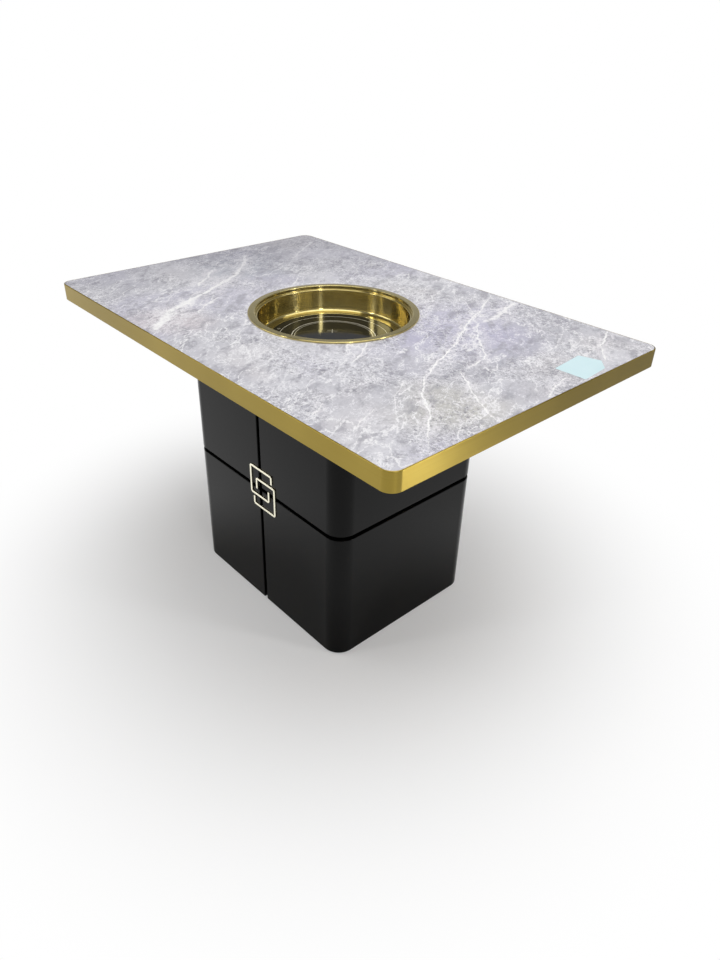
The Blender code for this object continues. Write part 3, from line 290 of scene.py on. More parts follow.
def rounded_line(corners, steps=5):
    """Points along (radius, height, rounding) corners, with an arc in place of each rounded corner."""
    points = []
    for number, (x, z, rounding) in enumerate(corners):
        corner = Vector((x, z))
        if rounding == 0:
            points.append(corner)
            continue
        before = (Vector(corners[number - 1][:2]) - corner).normalized()
        after = (Vector(corners[(number + 1) % len(corners)][:2]) - corner).normalized()
        half_angle = before.angle(after) / 2
        reach = rounding / math.tan(half_angle)
        centre = corner + (before + after).normalized() * (rounding / math.sin(half_angle))
        start = corner + before * reach - centre
        swing = start.angle_signed(corner + after * reach - centre)
        for step in range(steps + 1):
            points.append(centre + Matrix.Rotation(-swing * step / steps, 2) @ start)
    return points


def extrude_by(offset):
    """Extrudes what is selected in edit mode."""
    bpy.ops.mesh.extrude_region_move(TRANSFORM_OT_translate={"value": offset})


def join_points():
    """Joins points of the mesh in edit mode that share a spot, and leaves it all selected."""
    bpy.ops.mesh.select_all(action="SELECT")
    bpy.ops.mesh.remove_doubles(threshold=same_spot)
    bpy.ops.mesh.select_all(action="SELECT")


def face_outward():
    """Turns the faces of the mesh in edit mode outward, and leaves it all selected."""
    bpy.ops.mesh.select_all(action="SELECT")
    bpy.ops.mesh.normals_make_consistent(inside=False)


def draw_line(name, points):
    """A new mesh in edit mode: one vertex at the first point, extruded along the others."""
    bpy.ops.object.select_all(action="DESELECT")
    bpy.ops.mesh.primitive_plane_add(size=0.001)
    piece = bpy.context.object
    piece.name = piece.data.name = name
    bpy.ops.object.mode_set(mode="EDIT")
    bpy.ops.mesh.select_mode(type="VERT")
    bpy.ops.mesh.select_all(action="SELECT")
    bpy.ops.mesh.merge(type="CENTER")
    bpy.ops.transform.translate(value=points[0])
    for start, end in zip(points, points[1:]):
        extrude_by(Vector(end) - Vector(start))
    return piece


def turn_on_lathe(name, outline, steps, axis=(0, 0)):
    """A closed outline of (radius, height) points, spun round an upright axis."""
    points = [(axis[0] + radius, axis[1], height) for radius, height in outline]
    closed = points + points[:1] if outline[0][0] > 0 else points
    piece = draw_line(name, closed)
    join_points()
    bpy.ops.mesh.spin(steps=steps, angle=math.tau, center=(*axis, 0), axis=(0, 0, 1))
    join_points()
    face_outward()
    bpy.ops.object.mode_set(mode="OBJECT")
    return piece


def make_active(piece):
    bpy.ops.object.select_all(action="DESELECT")
    piece.select_set(True)
    bpy.context.view_layer.objects.active = piece


def apply_all(piece):
    make_active(piece)
    bpy.ops.object.transform_apply(location=True, rotation=True, scale=True)
    for modifier in list(piece.modifiers):
        bpy.ops.object.modifier_apply(modifier=modifier.name)


def copy_to(piece, name, offset):
    """A second piece with a mesh of its own, moved by an offset."""
    twin = piece.copy()
    twin.data = piece.data.copy()
    twin.name = twin.data.name = name
    scene.collection.objects.link(twin)
    twin.data.transform(Matrix.Translation(offset))
    return twin


def dress(finish, *names):
    """Gives CAD solids a finish."""
    for name in names:
        cad_nodes[name].data.materials.clear()
        cad_nodes[name].data.materials.append(finish.material)


def moulded_rubber():
    finish = Finish("moulded_rubber")
    dust = finish.spread(finish.noise(finish.place(), 90, 5), 0.45, 0.75)
    finish.surface(
        Base_Color=finish.blend(dust, tone(26, 26, 26), tone(44, 43, 41)),
        Roughness=finish.spread(dust, 0, 1, 0.55, 0.75),
    )
    finish.bump(finish.noise(finish.place(), 1800, 2), 0.00005, 0.5)
    return finish


def clouded(name, cloud, first, second, rough, stretch=(1, 1, 1), **sockets):
    """A finish whose colour and roughness drift between two values with a cloud of noise."""
    finish = Finish(name)
    finish.cloud = finish.noise(finish.place(scale=stretch), *cloud)
    finish.surface(
        Base_Color=finish.blend(finish.cloud, first, second),
        Roughness=finish.spread(finish.cloud, 0.3, 0.7, *rough),
        **sockets,
    )
    return finish


rubber = moulded_rubber()
steel = clouded("plated_steel", (160, 4), tone(182, 182, 178), tone(208, 208, 206), (0.22, 0.4), Metallic=1.0)
first_low, first_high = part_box("levelling_foot_1")
foot_axis = ((first_low.x + first_high.x) / 2, (first_low.y + first_high.y) / 2)
foot_radius = (first_high.x - first_low.x) / 2
stud_top = first_high.z
stud_side = [(stud_radius, foot_height, 0)]
for turn in range(int((stud_top - foot_height - plain_length) / thread_pitch)):
    height = foot_height + thread_start + turn * thread_pitch
    stud_side.append((stud_radius, height, 0))
    stud_side.append((stud_radius - thread_depth, height + thread_pitch / 2, 0))
foot_outline = rounded_line(
    [
        (0, 0, 0),
        (foot_radius, 0, foot_edge_round),
        (foot_radius, cushion_height, foot_edge_round / 2),
        (neck_radius, foot_height, foot_edge_round),
        *stud_side,
        (stud_radius, stud_top - stud_chamfer, 0),
        (stud_radius - stud_chamfer, stud_top, 0),
        (0, stud_top, 0),
    ]
)
foot = turn_on_lathe("foot_1", foot_outline, foot_steps, foot_axis)
foot.data.materials.append(rubber.material)
foot.data.materials.append(steel.material)
for face in foot.data.polygons:
    by_stud = (face.center.xy - Vector(foot_axis)).length < neck_radius / 2
    face.material_index = int(face.center.z > foot_height and by_stud)
feet = [foot]
for number in (2, 3, 4):
    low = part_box(f"levelling_foot_{number}")[0]
    feet.append(copy_to(foot, f"foot_{number}", (low.x - first_low.x, low.y - first_low.y, 0)))
for number, foot in enumerate(feet, 1):
    apply_all(foot)
    bpy.ops.object.shade_smooth_by_angle(angle=math.radians(foot_smooth))
    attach(foot, f"foot_{number}")
    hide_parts(f"levelling_foot_{number}")
    dress(steel, f"foot_nut_{number}")


# Carcass. A bottom plate, a top plate and four corner posts of birch plywood, glued and screwed together. The
# bottom plate, the waist rail and the battens are stained black, so the grooves over them read as dark lines.
ply_thickness = 0.0028


def birch_plywood():
    finish = Finish("birch_plywood")
    grain = finish.noise(finish.warped(finish.place(scale=(3, 40, 14)), 0.6, 1.5), 1.6, 6, 0.6)
    layer = finish.maths("FRACT", finish.times(finish.parts(finish.place())["Z"], 1 / ply_thickness))
    glue_line = finish.spread(finish.apart(layer, 0.5), 0.38, 0.48)
    normal = finish.add("ShaderNodeNewGeometry").outputs["Normal"]
    facing_up = finish.maths("ABSOLUTE", finish.parts(normal)["Z"])
    edge_only = finish.times(glue_line, finish.spread(facing_up, 0.7, 0.3))
    wood = finish.blend(finish.spread(grain, 0.35, 0.7), tone(214, 186, 146), tone(186, 150, 106))
    finish.surface(
        Base_Color=finish.blend(edge_only, wood, tone(120, 88, 58)),
        Roughness=finish.spread(grain, 0.3, 0.7, 0.55, 0.7),
    )
    finish.bump(grain, 0.0002, 0.5)
    return finish


plywood = birch_plywood()
stained = clouded(
    "stained_board", (6, 4), tone(7, 7, 7), tone(15, 15, 14), (0.6, 0.8), (4, 4, 60), Specular_IOR_Level=0.2
)
stained.bump(stained.cloud, 0.0001, 0.5)
dress(plywood, "base_top_plate")
dress(plywood, *(f"corner_post_{end}_{side}" for end in ("front", "back") for side in ("left", "right")))
dress(stained, "bottom_plate", "waist_rail", "front_batten_lower", "front_batten_upper", "back_batten_upper")


# Base shells. Four bent panels of lacquered board, two above the waist groove and two below it, each running
# from the front groove round a corner, a side and a second corner to the back. Their edges are softened.
shell_thickness, shell_corner, shell_edge_round = 0.015, 0.045, 0.0018
back_gap_half = {"upper": 0.005, "lower": 0.203}
corner_steps = 20
nearly = 1e-5


def pick(piece, kind, wanted):
    """Selects only the vertices, edges or faces of the mesh in edit mode for which wanted is true."""
    bpy.ops.mesh.select_mode(type={"verts": "VERT", "edges": "EDGE", "faces": "FACE"}[kind])
    bpy.ops.mesh.select_all(action="DESELECT")
    shape = bmesh.from_edit_mesh(piece.data)
    for part in getattr(shape, kind):
        part.select_set(bool(wanted(part)))
    shape.select_flush_mode()
    bmesh.update_edit_mesh(piece.data)


def block(name, low, high):
    """A box between two corners, left in edit mode for shaping."""
    low, high = Vector(low), Vector(high)
    bpy.ops.object.select_all(action="DESELECT")
    bpy.ops.mesh.primitive_cube_add(size=1, location=(low + high) / 2, scale=high - low)
    piece = bpy.context.object
    piece.name = piece.data.name = name
    bpy.ops.object.transform_apply(location=True, rotation=True, scale=True)
    bpy.ops.object.mode_set(mode="EDIT")
    return piece


def soften(piece, width, segments=3, angle=40):
    """Rounds the edges of a piece that are sharper than an angle in degrees."""
    made = piece.modifiers.new("soft_edges", "BEVEL")
    made.width, made.segments = width, segments
    made.limit_method, made.angle_limit = "ANGLE", math.radians(angle)


def thicken(piece, thickness, offset):
    """Gives a sheet its thickness, to one side or, with an offset of 0, to both."""
    made = piece.modifiers.new("thickness", "SOLIDIFY")
    made.thickness, made.offset, made.use_even_offset = thickness, offset, True


def fit_piece(piece, finish, body, slot, *stands_for, smooth=30):
    """Shades a finished mesh, gives it its finish and fixes it to the body that carries it."""
    apply_all(piece)
    bpy.ops.object.shade_smooth_by_angle(angle=math.radians(smooth))
    even_shading = piece.modifiers.new("even_shading", "WEIGHTED_NORMAL")
    even_shading.keep_sharp = True
    bpy.ops.object.modifier_apply(modifier=even_shading.name)
    piece.data.materials.clear()
    piece.data.materials.append(finish.material)
    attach(piece, body)
    if stands_for:
        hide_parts(*stands_for)


def upright_at(edge, x):
    """Whether an edge stands upright at an X."""
    first, second = (vert.co for vert in edge.verts)
    return abs(first.x - x) < nearly and abs(second.x - x) < nearly and abs(first.z - second.z) > 0.1


lacquer = clouded(
    "black_lacquer", (7, 5, 0.6), tone(5, 5, 5), tone(8, 8, 7), (0.12, 0.19), Specular_IOR_Level=0.12
)
lacquer.bump(lacquer.noise(lacquer.place(), 260, 2), 0.00005, 0.05)
for tier in ("upper", "lower"):
    for side, word in ((-1, "left"), (1, "right")):
        low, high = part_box(f"{tier}_shell_{word}")
        outer_x, inner_x = (low.x, high.x) if side < 0 else (high.x, low.x)
        shell = block(f"shell_{tier}_{word}", low, high)
        pick(shell, "faces", lambda face: abs(face.normal.z) > 0.9 or face.normal.x * side < -0.9)
        bpy.ops.mesh.delete(type="FACE")
        pick(shell, "verts", lambda vert: vert.co.y > 0 and abs(vert.co.x - inner_x) < nearly)
        bpy.ops.transform.translate(value=(side * back_gap_half[tier] - inner_x, 0, 0))
        pick(shell, "edges", lambda edge: upright_at(edge, outer_x))
        bpy.ops.mesh.bevel(offset=shell_corner, segments=corner_steps, affect="EDGES")
        bpy.ops.object.mode_set(mode="OBJECT")
        thicken(shell, shell_thickness, -1)
        soften(shell, shell_edge_round)
        fit_piece(shell, lacquer, "table_frame", "black_lacquer", f"{tier}_shell_{word}")


# Fret ornament. Two hooks of flat brass bar, each bent into an open rectangle and locked through the other,
# pinned to the front over the crossing of the grooves. Their outer corners are filed round and polished.
fret_bar, fret_bend, fret_edge_round, fret_depth = 0.0055, 0.0044, 0.0008, 0.0032
fret_top_stub, fret_inner_stub, fret_inner_inset, fret_bend_steps = 0.0209, 0.0294, 0.0123, 6
champagne_tones = tone(254, 248, 220), tone(255, 253, 236)
champagne = clouded("champagne_brass", (6, 4), *champagne_tones, (0.30, 0.42), (30, 30, 30), Metallic=1.0)
upper_low, upper_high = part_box("fret_hook_upper")
lower_low, lower_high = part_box("fret_hook_lower")
fret_middle = (upper_low + upper_high + lower_low + lower_high) / 4
half_bar = fret_bar / 2
hook_left = upper_low.x + half_bar - fret_middle.x
hook_top = upper_high.z - half_bar - fret_middle.z
hook_right = upper_high.x - half_bar - fret_middle.x
hook_low = upper_low.z + half_bar - fret_middle.z
hook_path = rounded_line(
    [
        (hook_right, hook_top - fret_top_stub, 0),
        (hook_right, hook_top, fret_bend),
        (hook_left, hook_top, fret_bend),
        (hook_left, hook_low, fret_bend),
        (hook_right - fret_inner_inset, hook_low, fret_bend),
        (hook_right - fret_inner_inset, hook_low + fret_inner_stub, 0),
    ],
    fret_bend_steps,
)
for name, half_turn in (("upper", 1), ("lower", -1)):
    route = [
        (fret_middle.x + half_turn * x, upper_high.y, fret_middle.z + half_turn * z) for x, z in hook_path
    ]
    hook = draw_line(f"fret_{name}", route)
    bpy.ops.mesh.select_all(action="SELECT")
    extrude_by((0, -fret_depth, 0))
    bpy.ops.object.mode_set(mode="OBJECT")
    thicken(hook, fret_bar, 0)
    apply_all(hook)
    bpy.ops.object.mode_set(mode="EDIT")
    face_outward()
    bpy.ops.object.mode_set(mode="OBJECT")
    soften(hook, fret_edge_round, angle=50)
    fit_piece(hook, champagne, "table_frame", "brushed_gold", f"fret_hook_{name}")


# Service door. A lacquered panel at the back, with vent slots for the cooker's air and a finger notch in its
# top edge. Two steel butt hinges are screwed on outside, and a magnetic catch under the waist rail holds it.
door_edge_round = 0.0010
vent_count, vent_length, vent_height, vent_pitch, vent_middle = 6, 0.180, 0.007, 0.018, 0.120
notch_length, notch_depth = 0.080, 0.016
slot_roundness, slot_steps, cutter_reach = 0.98, 8, 0.01
leaf_edge_round, pin_edge_round, catch_edge_round, strike_edge_round = 0.0003, 0.0004, 0.0006, 0.0004
screw_radius, screw_flat, screw_height, screw_rim, screw_sunk = 0.0033, 0.0016, 0.0009, 0.0003, 0.0002
recess_width, recess_depth, recess_reach, recess_top, recess_turn = 0.0009, 0.0007, 0.0021, 0.002, 20
screw_steps, screw_inset, screw_shares, leaf_rise = 32, 0.008, (0.2, 0.8), 0.0019


def cut_away(piece, cutter):
    """Takes a cutter's form out of a piece, and deletes the cutter."""
    cut = piece.modifiers.new("cut", "BOOLEAN")
    cut.operation, cut.object = "DIFFERENCE", cutter
    apply_all(piece)
    bpy.data.objects.remove(cutter)


def cut_slot(piece, x, z, length, height):
    """Cuts a round-ended slot through the door, from front to back."""
    low = (x - length / 2, door_low.y - cutter_reach, z - height / 2)
    high = (x + length / 2, door_high.y + cutter_reach, z + height / 2)
    cutter = block("slot_cutter", low, high)
    pick(cutter, "edges", lambda edge: abs(edge.verts[0].co.y - edge.verts[1].co.y) > cutter_reach)
    bpy.ops.mesh.bevel(offset=height / 2 * slot_roundness, segments=slot_steps, affect="EDGES")
    bpy.ops.object.mode_set(mode="OBJECT")
    cut_away(piece, cutter)


door_low, door_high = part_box("service_door")
door = block("door_panel", door_low, door_high)
bpy.ops.object.mode_set(mode="OBJECT")
for number in range(vent_count):
    cut_slot(door, 0, vent_middle + (number - (vent_count - 1) / 2) * vent_pitch, vent_length, vent_height)
cut_slot(door, 0, door_high.z, notch_length, 2 * notch_depth)
soften(door, door_edge_round, segments=2, angle=50)
fit_piece(door, lacquer, "door", "black_lacquer", "service_door")


def smooth_copy(node, name, finish, body, slot, edge=0.0, smooth=32):
    """A copy of a CAD solid with its faces merged, its edges softened and its round sides shaded smooth."""
    piece = copy_to(cad_nodes[node], name, (0, 0, 0))
    for key in list(piece.keys()):
        del piece[key]
    piece.parent = None
    make_active(piece)
    bpy.ops.object.mode_set(mode="EDIT")
    join_points()
    bpy.ops.mesh.dissolve_limited(angle_limit=math.radians(0.5))
    bpy.ops.object.mode_set(mode="OBJECT")
    if edge:
        soften(piece, edge, segments=2, angle=50)
    fit_piece(piece, finish, body, slot, node, smooth=smooth)


for place in ("lower", "upper"):
    for part, made, body, edge in (
        ("frame_leaf", "leaf_on_frame", "table_frame", leaf_edge_round),
        ("door_leaf", "leaf_on_door", "door", leaf_edge_round),
        ("pin", "pin_turned", "table_frame", pin_edge_round),
    ):
        smooth_copy(f"hinge_{place}_{part}", f"hinge_{place}_{made}", steel, body, "plated_steel", edge)


def countersunk_screw(name, place, body):
    """A screw head with a cross recess, standing on a face at a place and facing along +Y."""
    outline = (
        (0, -screw_sunk),
        (screw_radius, -screw_sunk),
        (screw_radius, screw_rim),
        (screw_flat, screw_height),
        (0, screw_height),
    )
    head = turn_on_lathe(name, outline, screw_steps)
    for turn in (0, 90):
        low = (-recess_reach, -recess_width / 2, screw_height - recess_depth)
        recess = block("recess_cutter", low, (recess_reach, recess_width / 2, recess_top))
        bpy.ops.object.mode_set(mode="OBJECT")
        recess.data.transform(Matrix.Rotation(math.radians(turn + recess_turn), 4, "Z"))
        cut_away(head, recess)
    head.data.transform(Matrix.Translation(place) @ Matrix.Rotation(math.radians(-90), 4, "X"))
    fit_piece(head, steel, body, "plated_steel")


for place in ("lower", "upper"):
    for part, body in (("frame", "table_frame"), ("door", "door")):
        leaf_low, leaf_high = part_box(f"hinge_{place}_{part}_leaf")
        screw_x = leaf_low.x + screw_inset if part == "frame" else leaf_high.x - screw_inset
        for number, share in enumerate(screw_shares, 1):
            spot = (screw_x, door_high.y + leaf_rise, leaf_low.z + share * (leaf_high.z - leaf_low.z))
            countersunk_screw(f"hinge_screw_{place}_{part}_{number}", spot, body)


def moulded_plastic(name, dark, light):
    finish = clouded(name, (60, 4), dark, light, (0.42, 0.55))
    finish.bump(finish.noise(finish.place(), 2200, 2), 0.00004, 0.4)
    return finish


dark_plastic = moulded_plastic("dark_plastic", tone(36, 36, 37), tone(46, 46, 47))
grey_plastic = moulded_plastic("grey_plastic", tone(150, 150, 148), tone(166, 166, 163))
smooth_copy("magnetic_catch", "catch_body", dark_plastic, "table_frame", "dark_plastic", catch_edge_round)
smooth_copy("catch_strike", "strike_plate", steel, "door", "plated_steel", strike_edge_round)


# Table top core and edge band. A plywood board carries the stone, and a strip of brushed gold steel is bent
# round it, with a lip turned in under the board. The strip's top edge is rolled over, flush with the stone.
band_sheet, band_lip, band_corner, band_top_round, band_edge_round = 0.002, 0.018, 0.025, 0.0020, 0.0004
band_low, band_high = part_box("edge_band")


def brushed_gold():
    finish = Finish("brushed_gold")
    lines = finish.noise(finish.place(scale=(2.2, 2.2, 900)), 1.0, 4, 0.7)
    cloud = finish.noise(finish.place(scale=(3, 3, 1)), 1.3, 3)
    brushed = finish.blend(lines, tone(145, 125, 54), tone(171, 150, 74))
    finish.surface(
        Base_Color=finish.blend(finish.spread(cloud, 0.35, 0.7, 0.0, 0.5), brushed, tone(136, 117, 50)),
        Metallic=1.0,
        Roughness=finish.spread(lines, 0.3, 0.7, 0.30, 0.42),
        Anisotropic=0.9,
        Anisotropic_Rotation=0.25,
        Tangent=finish.add("ShaderNodeTangent", direction_type="RADIAL", axis="Z").outputs[0],
    )
    finish.bump(lines, 0.00004, 0.3)
    return finish


def on_outer_top(edge):
    """Whether an edge runs round the outside of the band's top."""
    if any(vert.co.z <= band_high.z - nearly for vert in edge.verts):
        return False
    middle = (edge.verts[0].co + edge.verts[1].co) / 2
    return any(abs(face.normal.z) < 0.1 and middle.xy.dot(face.normal.xy) > 0 for face in edge.link_faces)


gold = brushed_gold()
dress(plywood, "core_board")
bpy.ops.object.select_all(action="DESELECT")
bpy.ops.mesh.primitive_plane_add(size=1, location=(0, 0, band_low.z))
band = bpy.context.object
band.name = band.data.name = "gold_band"
band.scale = (band_high.x - band_low.x, band_high.y - band_low.y, 1)
bpy.ops.object.transform_apply(location=True, rotation=True, scale=True)
bpy.ops.object.mode_set(mode="EDIT")
bpy.ops.mesh.select_all(action="SELECT")
bpy.ops.mesh.bevel(offset=band_corner, segments=corner_steps, affect="VERTICES")
bpy.ops.mesh.select_all(action="SELECT")
extrude_by((0, 0, band_high.z - band_low.z))
face_outward()
pick(band, "faces", lambda face: face.normal.z > 0.9)
bpy.ops.mesh.inset(thickness=band_sheet)
extrude_by((0, 0, band_low.z + band_sheet - band_high.z))
bpy.ops.mesh.inset(thickness=band_lip - band_sheet)
pick(band, "faces", lambda face: face.normal.z < -0.9 and face.calc_center_median().z < band_low.z + nearly)
bpy.ops.mesh.inset(thickness=band_lip)
pick(band, "faces", lambda face: len(face.verts) > 20 and abs(face.normal.z) > 0.9)
bpy.ops.mesh.bridge_edge_loops()
face_outward()
pick(band, "edges", on_outer_top)
bpy.ops.mesh.bevel(offset=band_top_round, segments=4, affect="EDGES")
bpy.ops.object.mode_set(mode="OBJECT")
soften(band, band_edge_round, segments=2, angle=60)
fit_piece(band, gold, "table_frame", "brushed_gold", "edge_band")


# Stone top. A polished slab of grey marble with a lavender cast, laid in the band, with a round hole sawn for
# the well. Fine pale wisps run across it, and white veins break through it like lightning.
streak_turn = 57
veins = (
    ("main", 0.0040, 0.95, (
        (0.152, 0.387), (0.204, 0.293), (0.249, 0.185), (0.308, 0.080), (0.354, -0.029), (0.389, -0.102),
        (0.433, -0.159), (0.498, -0.204), (0.520, -0.239), (0.565, -0.281), (0.592, -0.310),
    )),
    ("branch_far", 0.0050, 0.85, (
        (0.262, 0.200), (0.322, 0.133), (0.381, 0.085), (0.402, 0.058), (0.416, -0.020),
    )),
    ("branch_near", 0.0042, 0.85, (
        (0.407, -0.027), (0.486, -0.083), (0.530, -0.110), (0.571, -0.131), (0.597, -0.140),
    )),
    ("right", 0.0040, 0.95, ((0.473, 0.402), (0.499, 0.341), (0.513, 0.310), (0.550, 0.263), (0.572, 0.233))),
    ("right_near", 0.0032, 0.8, ((0.561, 0.115), (0.577, 0.047), (0.593, 0.0))),
    ("back", 0.0110, 0.8, ((0.221, 0.398), (0.253, 0.315), (0.265, 0.261), (0.266, 0.208))),
    ("cross", 0.0026, 0.7, ((0.551, -0.150), (0.565, -0.209))),
    ("front", 0.0026, 0.6, ((0.375, -0.144), (0.423, -0.229))),
    ("left", 0.0110, 1.0, (
        (-0.544, 0.119), (-0.498, 0.095), (-0.440, 0.052), (-0.397, 0.004), (-0.359, -0.049),
        (-0.327, -0.108), (-0.295, -0.178), (-0.268, -0.236),
    )),
    ("left_broad", 0.0220, 0.95, (
        (-0.290, -0.190), (-0.268, -0.236), (-0.236, -0.295), (-0.194, -0.343), (-0.145, -0.390),
    )),
    ("left_branch", 0.0085, 1.0, (
        (-0.456, -0.028), (-0.440, -0.060), (-0.413, -0.081), (-0.375, -0.129), (-0.349, -0.151),
    )),
    ("left_far", 0.0034, 0.85, ((-0.258, 0.100), (-0.215, 0.047))),
    ("left_near", 0.0040, 0.85, ((-0.258, -0.146), (-0.194, -0.252))),
    ("near_well", 0.0034, 0.85, ((0.191, -0.066), (0.223, -0.111), (0.235, -0.140), (0.251, -0.172))),
    ("back_corner", 0.0060, 0.95, ((-0.520, 0.363), (-0.477, 0.293), (-0.440, 0.234), (-0.402, 0.186))),
    ("front_edge", 0.0026, 0.7, ((0.418, -0.267), (0.455, -0.348))),
    ("front_short", 0.0026, 0.6, ((0.346, -0.321), (0.373, -0.368))),
)
tinted_patches = (
    (0.25, 0.14, 0.24, 0.60, tone(184, 180, 208)),
    (0.50, -0.16, 0.15, 0.60, tone(198, 195, 183)),
    (-0.44, 0.03, 0.18, 0.50, tone(172, 177, 189)),
    (-0.19, -0.33, 0.14, 0.60, tone(222, 211, 212)),
)
stone_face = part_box("stone_top")[1].z


def vein(finish, place, uneven, half_width, strength, points):
    """How strongly a vein and its halo show: most on its line, less beside it and towards its ends."""
    points = [Vector(point) for point in points]
    along = points[-1] - points[0]
    length = along.length
    along = along / length
    across = Vector((-along.y, along.x))
    from_start = finish.vectors("SUBTRACT", place, (*points[0], 0))
    run = finish.maths("DIVIDE", finish.vectors("DOT_PRODUCT", from_start, (*along, 0)), length)
    aside = finish.vectors("DOT_PRODUCT", from_start, (*across, 0))
    offsets = [(point - points[0]).dot(across) for point in points]
    reach = max(max(abs(offset) for offset in offsets), 0.001) * 1.05
    line = finish.add("ShaderNodeFloatCurve")
    curve = line.mapping.curves[0]
    for _ in range(len(points) - 2):
        curve.points.new(0.5, 0.5)
    for knot, point, offset in zip(curve.points, points, offsets):
        knot.location = ((point - points[0]).dot(along) / length, 0.5 + offset / (2 * reach))
        knot.handle_type = "VECTOR"
    line.mapping.update()
    finish.feed(line.inputs["Value"], run)
    wanted = finish.times(finish.maths("SUBTRACT", line.outputs[0], 0.5), 2 * reach)
    gap = finish.times(finish.apart(aside, wanted), uneven)
    core = finish.spread(gap, half_width * 0.25, half_width, strength, 0.0)
    halo = finish.spread(gap, 0, half_width * 5 + 0.02, strength, 0.0)
    ends = finish.times(finish.spread(run, -0.02, 0.1), finish.spread(run, 1.02, 0.88))
    return finish.times(core, ends), finish.times(halo, ends)


def threads(finish, place, scale, width, detail, roughness):
    """Thin wandering lines, where a noise crosses its middle value."""
    gap = finish.apart(finish.noise(place, scale, detail, roughness), 0.5)
    return finish.spread(gap, 0, width, 1.0, 0.0)


def polished_marble():
    finish = Finish("polished_marble")
    flat = finish.place()
    flow = finish.place(scale=(1.0, 1.9, 1.0), turn=(0, 0, streak_turn))
    drift = finish.warped(flow, 5.0, 0.08)
    clouds = finish.noise(finish.warped(flat, 4, 0.10), 4.2, 5, 0.6)
    body = finish.blend(finish.spread(clouds, 0.36, 0.64), tone(186, 185, 193), tone(215, 214, 219))
    tint = finish.noise(flat, 2.6, 2)
    body = finish.blend(finish.spread(tint, 0.48, 0.62, 0.0, 0.55), body, tone(190, 187, 206))
    body = finish.blend(finish.spread(tint, 0.46, 0.36, 0.0, 0.45), body, tone(205, 200, 200))
    for x, y, reach, strength, colour in tinted_patches:
        away = finish.vectors("DISTANCE", finish.warped(flat, 6, 0.12), (x, y, stone_face))
        body = finish.blend(finish.spread(away, reach * 0.2, reach, strength, 0.0), body, colour)
    mottle = finish.noise(drift, 17, 7, 0.68)
    body = finish.blend(finish.spread(mottle, 0.50, 0.36, 0.0, 0.65), body, tone(156, 154, 163))
    body = finish.blend(finish.spread(mottle, 0.54, 0.68, 0.0, 0.4), body, tone(226, 225, 229))
    rich = finish.spread(finish.noise(finish.warped(flat, 7, 0.06), 6.5, 4), 0.42, 0.56, 0.15, 1.0)
    grain = finish.noise(finish.warped(flat, 60, 0.010), 125, 4, 0.72)
    pits = finish.times(finish.spread(grain, 0.47, 0.38), rich)
    body = finish.blend(finish.times(pits, 0.65), body, tone(130, 128, 136))
    crust = finish.times(threads(finish, finish.warped(flat, 40, 0.020), 62, 0.040, 4, 0.62), rich)
    body = finish.blend(finish.times(crust, 0.70), body, tone(246, 245, 247))
    worm = finish.times(threads(finish, finish.warped(flat, 70, 0.012), 92, 0.050, 3, 0.6), rich)
    body = finish.blend(finish.times(worm, 0.50), body, tone(140, 138, 147))
    nick = threads(finish, finish.warped(flat, 45, 0.020), 21, 0.011, 6, 0.66)
    nick = finish.times(nick, finish.spread(mottle, 0.38, 0.52))
    body = finish.blend(finish.times(nick, 0.85), body, tone(246, 245, 248))
    scratch = threads(finish, finish.warped(drift, 15, 0.07), 9, 0.017, 6, 0.62)
    scratch = finish.times(scratch, finish.spread(mottle, 0.40, 0.56))
    body = finish.blend(finish.times(scratch, 0.85), body, tone(243, 242, 244))
    wide = threads(finish, finish.warped(drift, 10, 0.06), 3.6, 0.012, 6, 0.58)
    wide = finish.times(wide, finish.spread(grain, 0.34, 0.5))
    body = finish.blend(finish.times(wide, 0.8), body, tone(246, 245, 246))
    wander = finish.warped(finish.warped(finish.warped(flat, 9, 0.020), 38, 0.014), 150, 0.006)
    uneven = finish.spread(finish.noise(flat, 42, 4, 0.7), 0.32, 0.68, 0.65, 2.6)
    broken = finish.spread(finish.noise(finish.warped(flat, 50, 0.02), 85, 6, 0.75), 0.36, 0.54, 0.25, 1.0)
    drawn = [vein(finish, wander, uneven, *shape) for _, *shape in veins]
    cores, halos = (finish.most(layer) for layer in zip(*drawn))
    combed = finish.place(scale=(1.0, 5.0, 1.0), turn=(0, 0, streak_turn))
    wisps = finish.spread(finish.noise(finish.warped(combed, 8, 0.06), 22, 5, 0.66), 0.50, 0.62)
    feather = finish.most([finish.spread(grain, 0.46, 0.62), crust, wisps])
    body = finish.blend(finish.times(finish.times(halos, feather), 0.8), body, tone(238, 235, 238))
    body = finish.blend(finish.times(cores, broken), body, tone(252, 251, 250))
    # Painted shade: the stone's colour, veins and all, is made darker towards the far left-hand corner, where
    # the light falls off.
    to_corner = finish.vectors("DOT_PRODUCT", flat, (-0.90, 0.44, 0.0))
    shade = finish.spread(to_corner, 0.10, 0.66, 0.0, 0.88)
    finish.surface(
        Base_Color=finish.blend(shade, body, tone(198, 197, 205), "MULTIPLY"),
        Roughness=finish.spread(mottle, 0.3, 0.7, 0.16, 0.24),
        Specular_IOR_Level=0.28,
    )
    return finish


dress(polished_marble(), "stone_top")


# Film. A scrap of the pale blue film that covered the stone on delivery is still stuck near the right-hand
# corner. It is blank, a fraction of a millimetre thick, and lies flat on the stone.
film_thickness, film_lift, film_corner_round = 0.0002, 0.00005, 0.003
film_corners = ((0.523, 0.128), (0.515, 0.222), (0.560, 0.236), (0.586, 0.207), (0.592, 0.130))

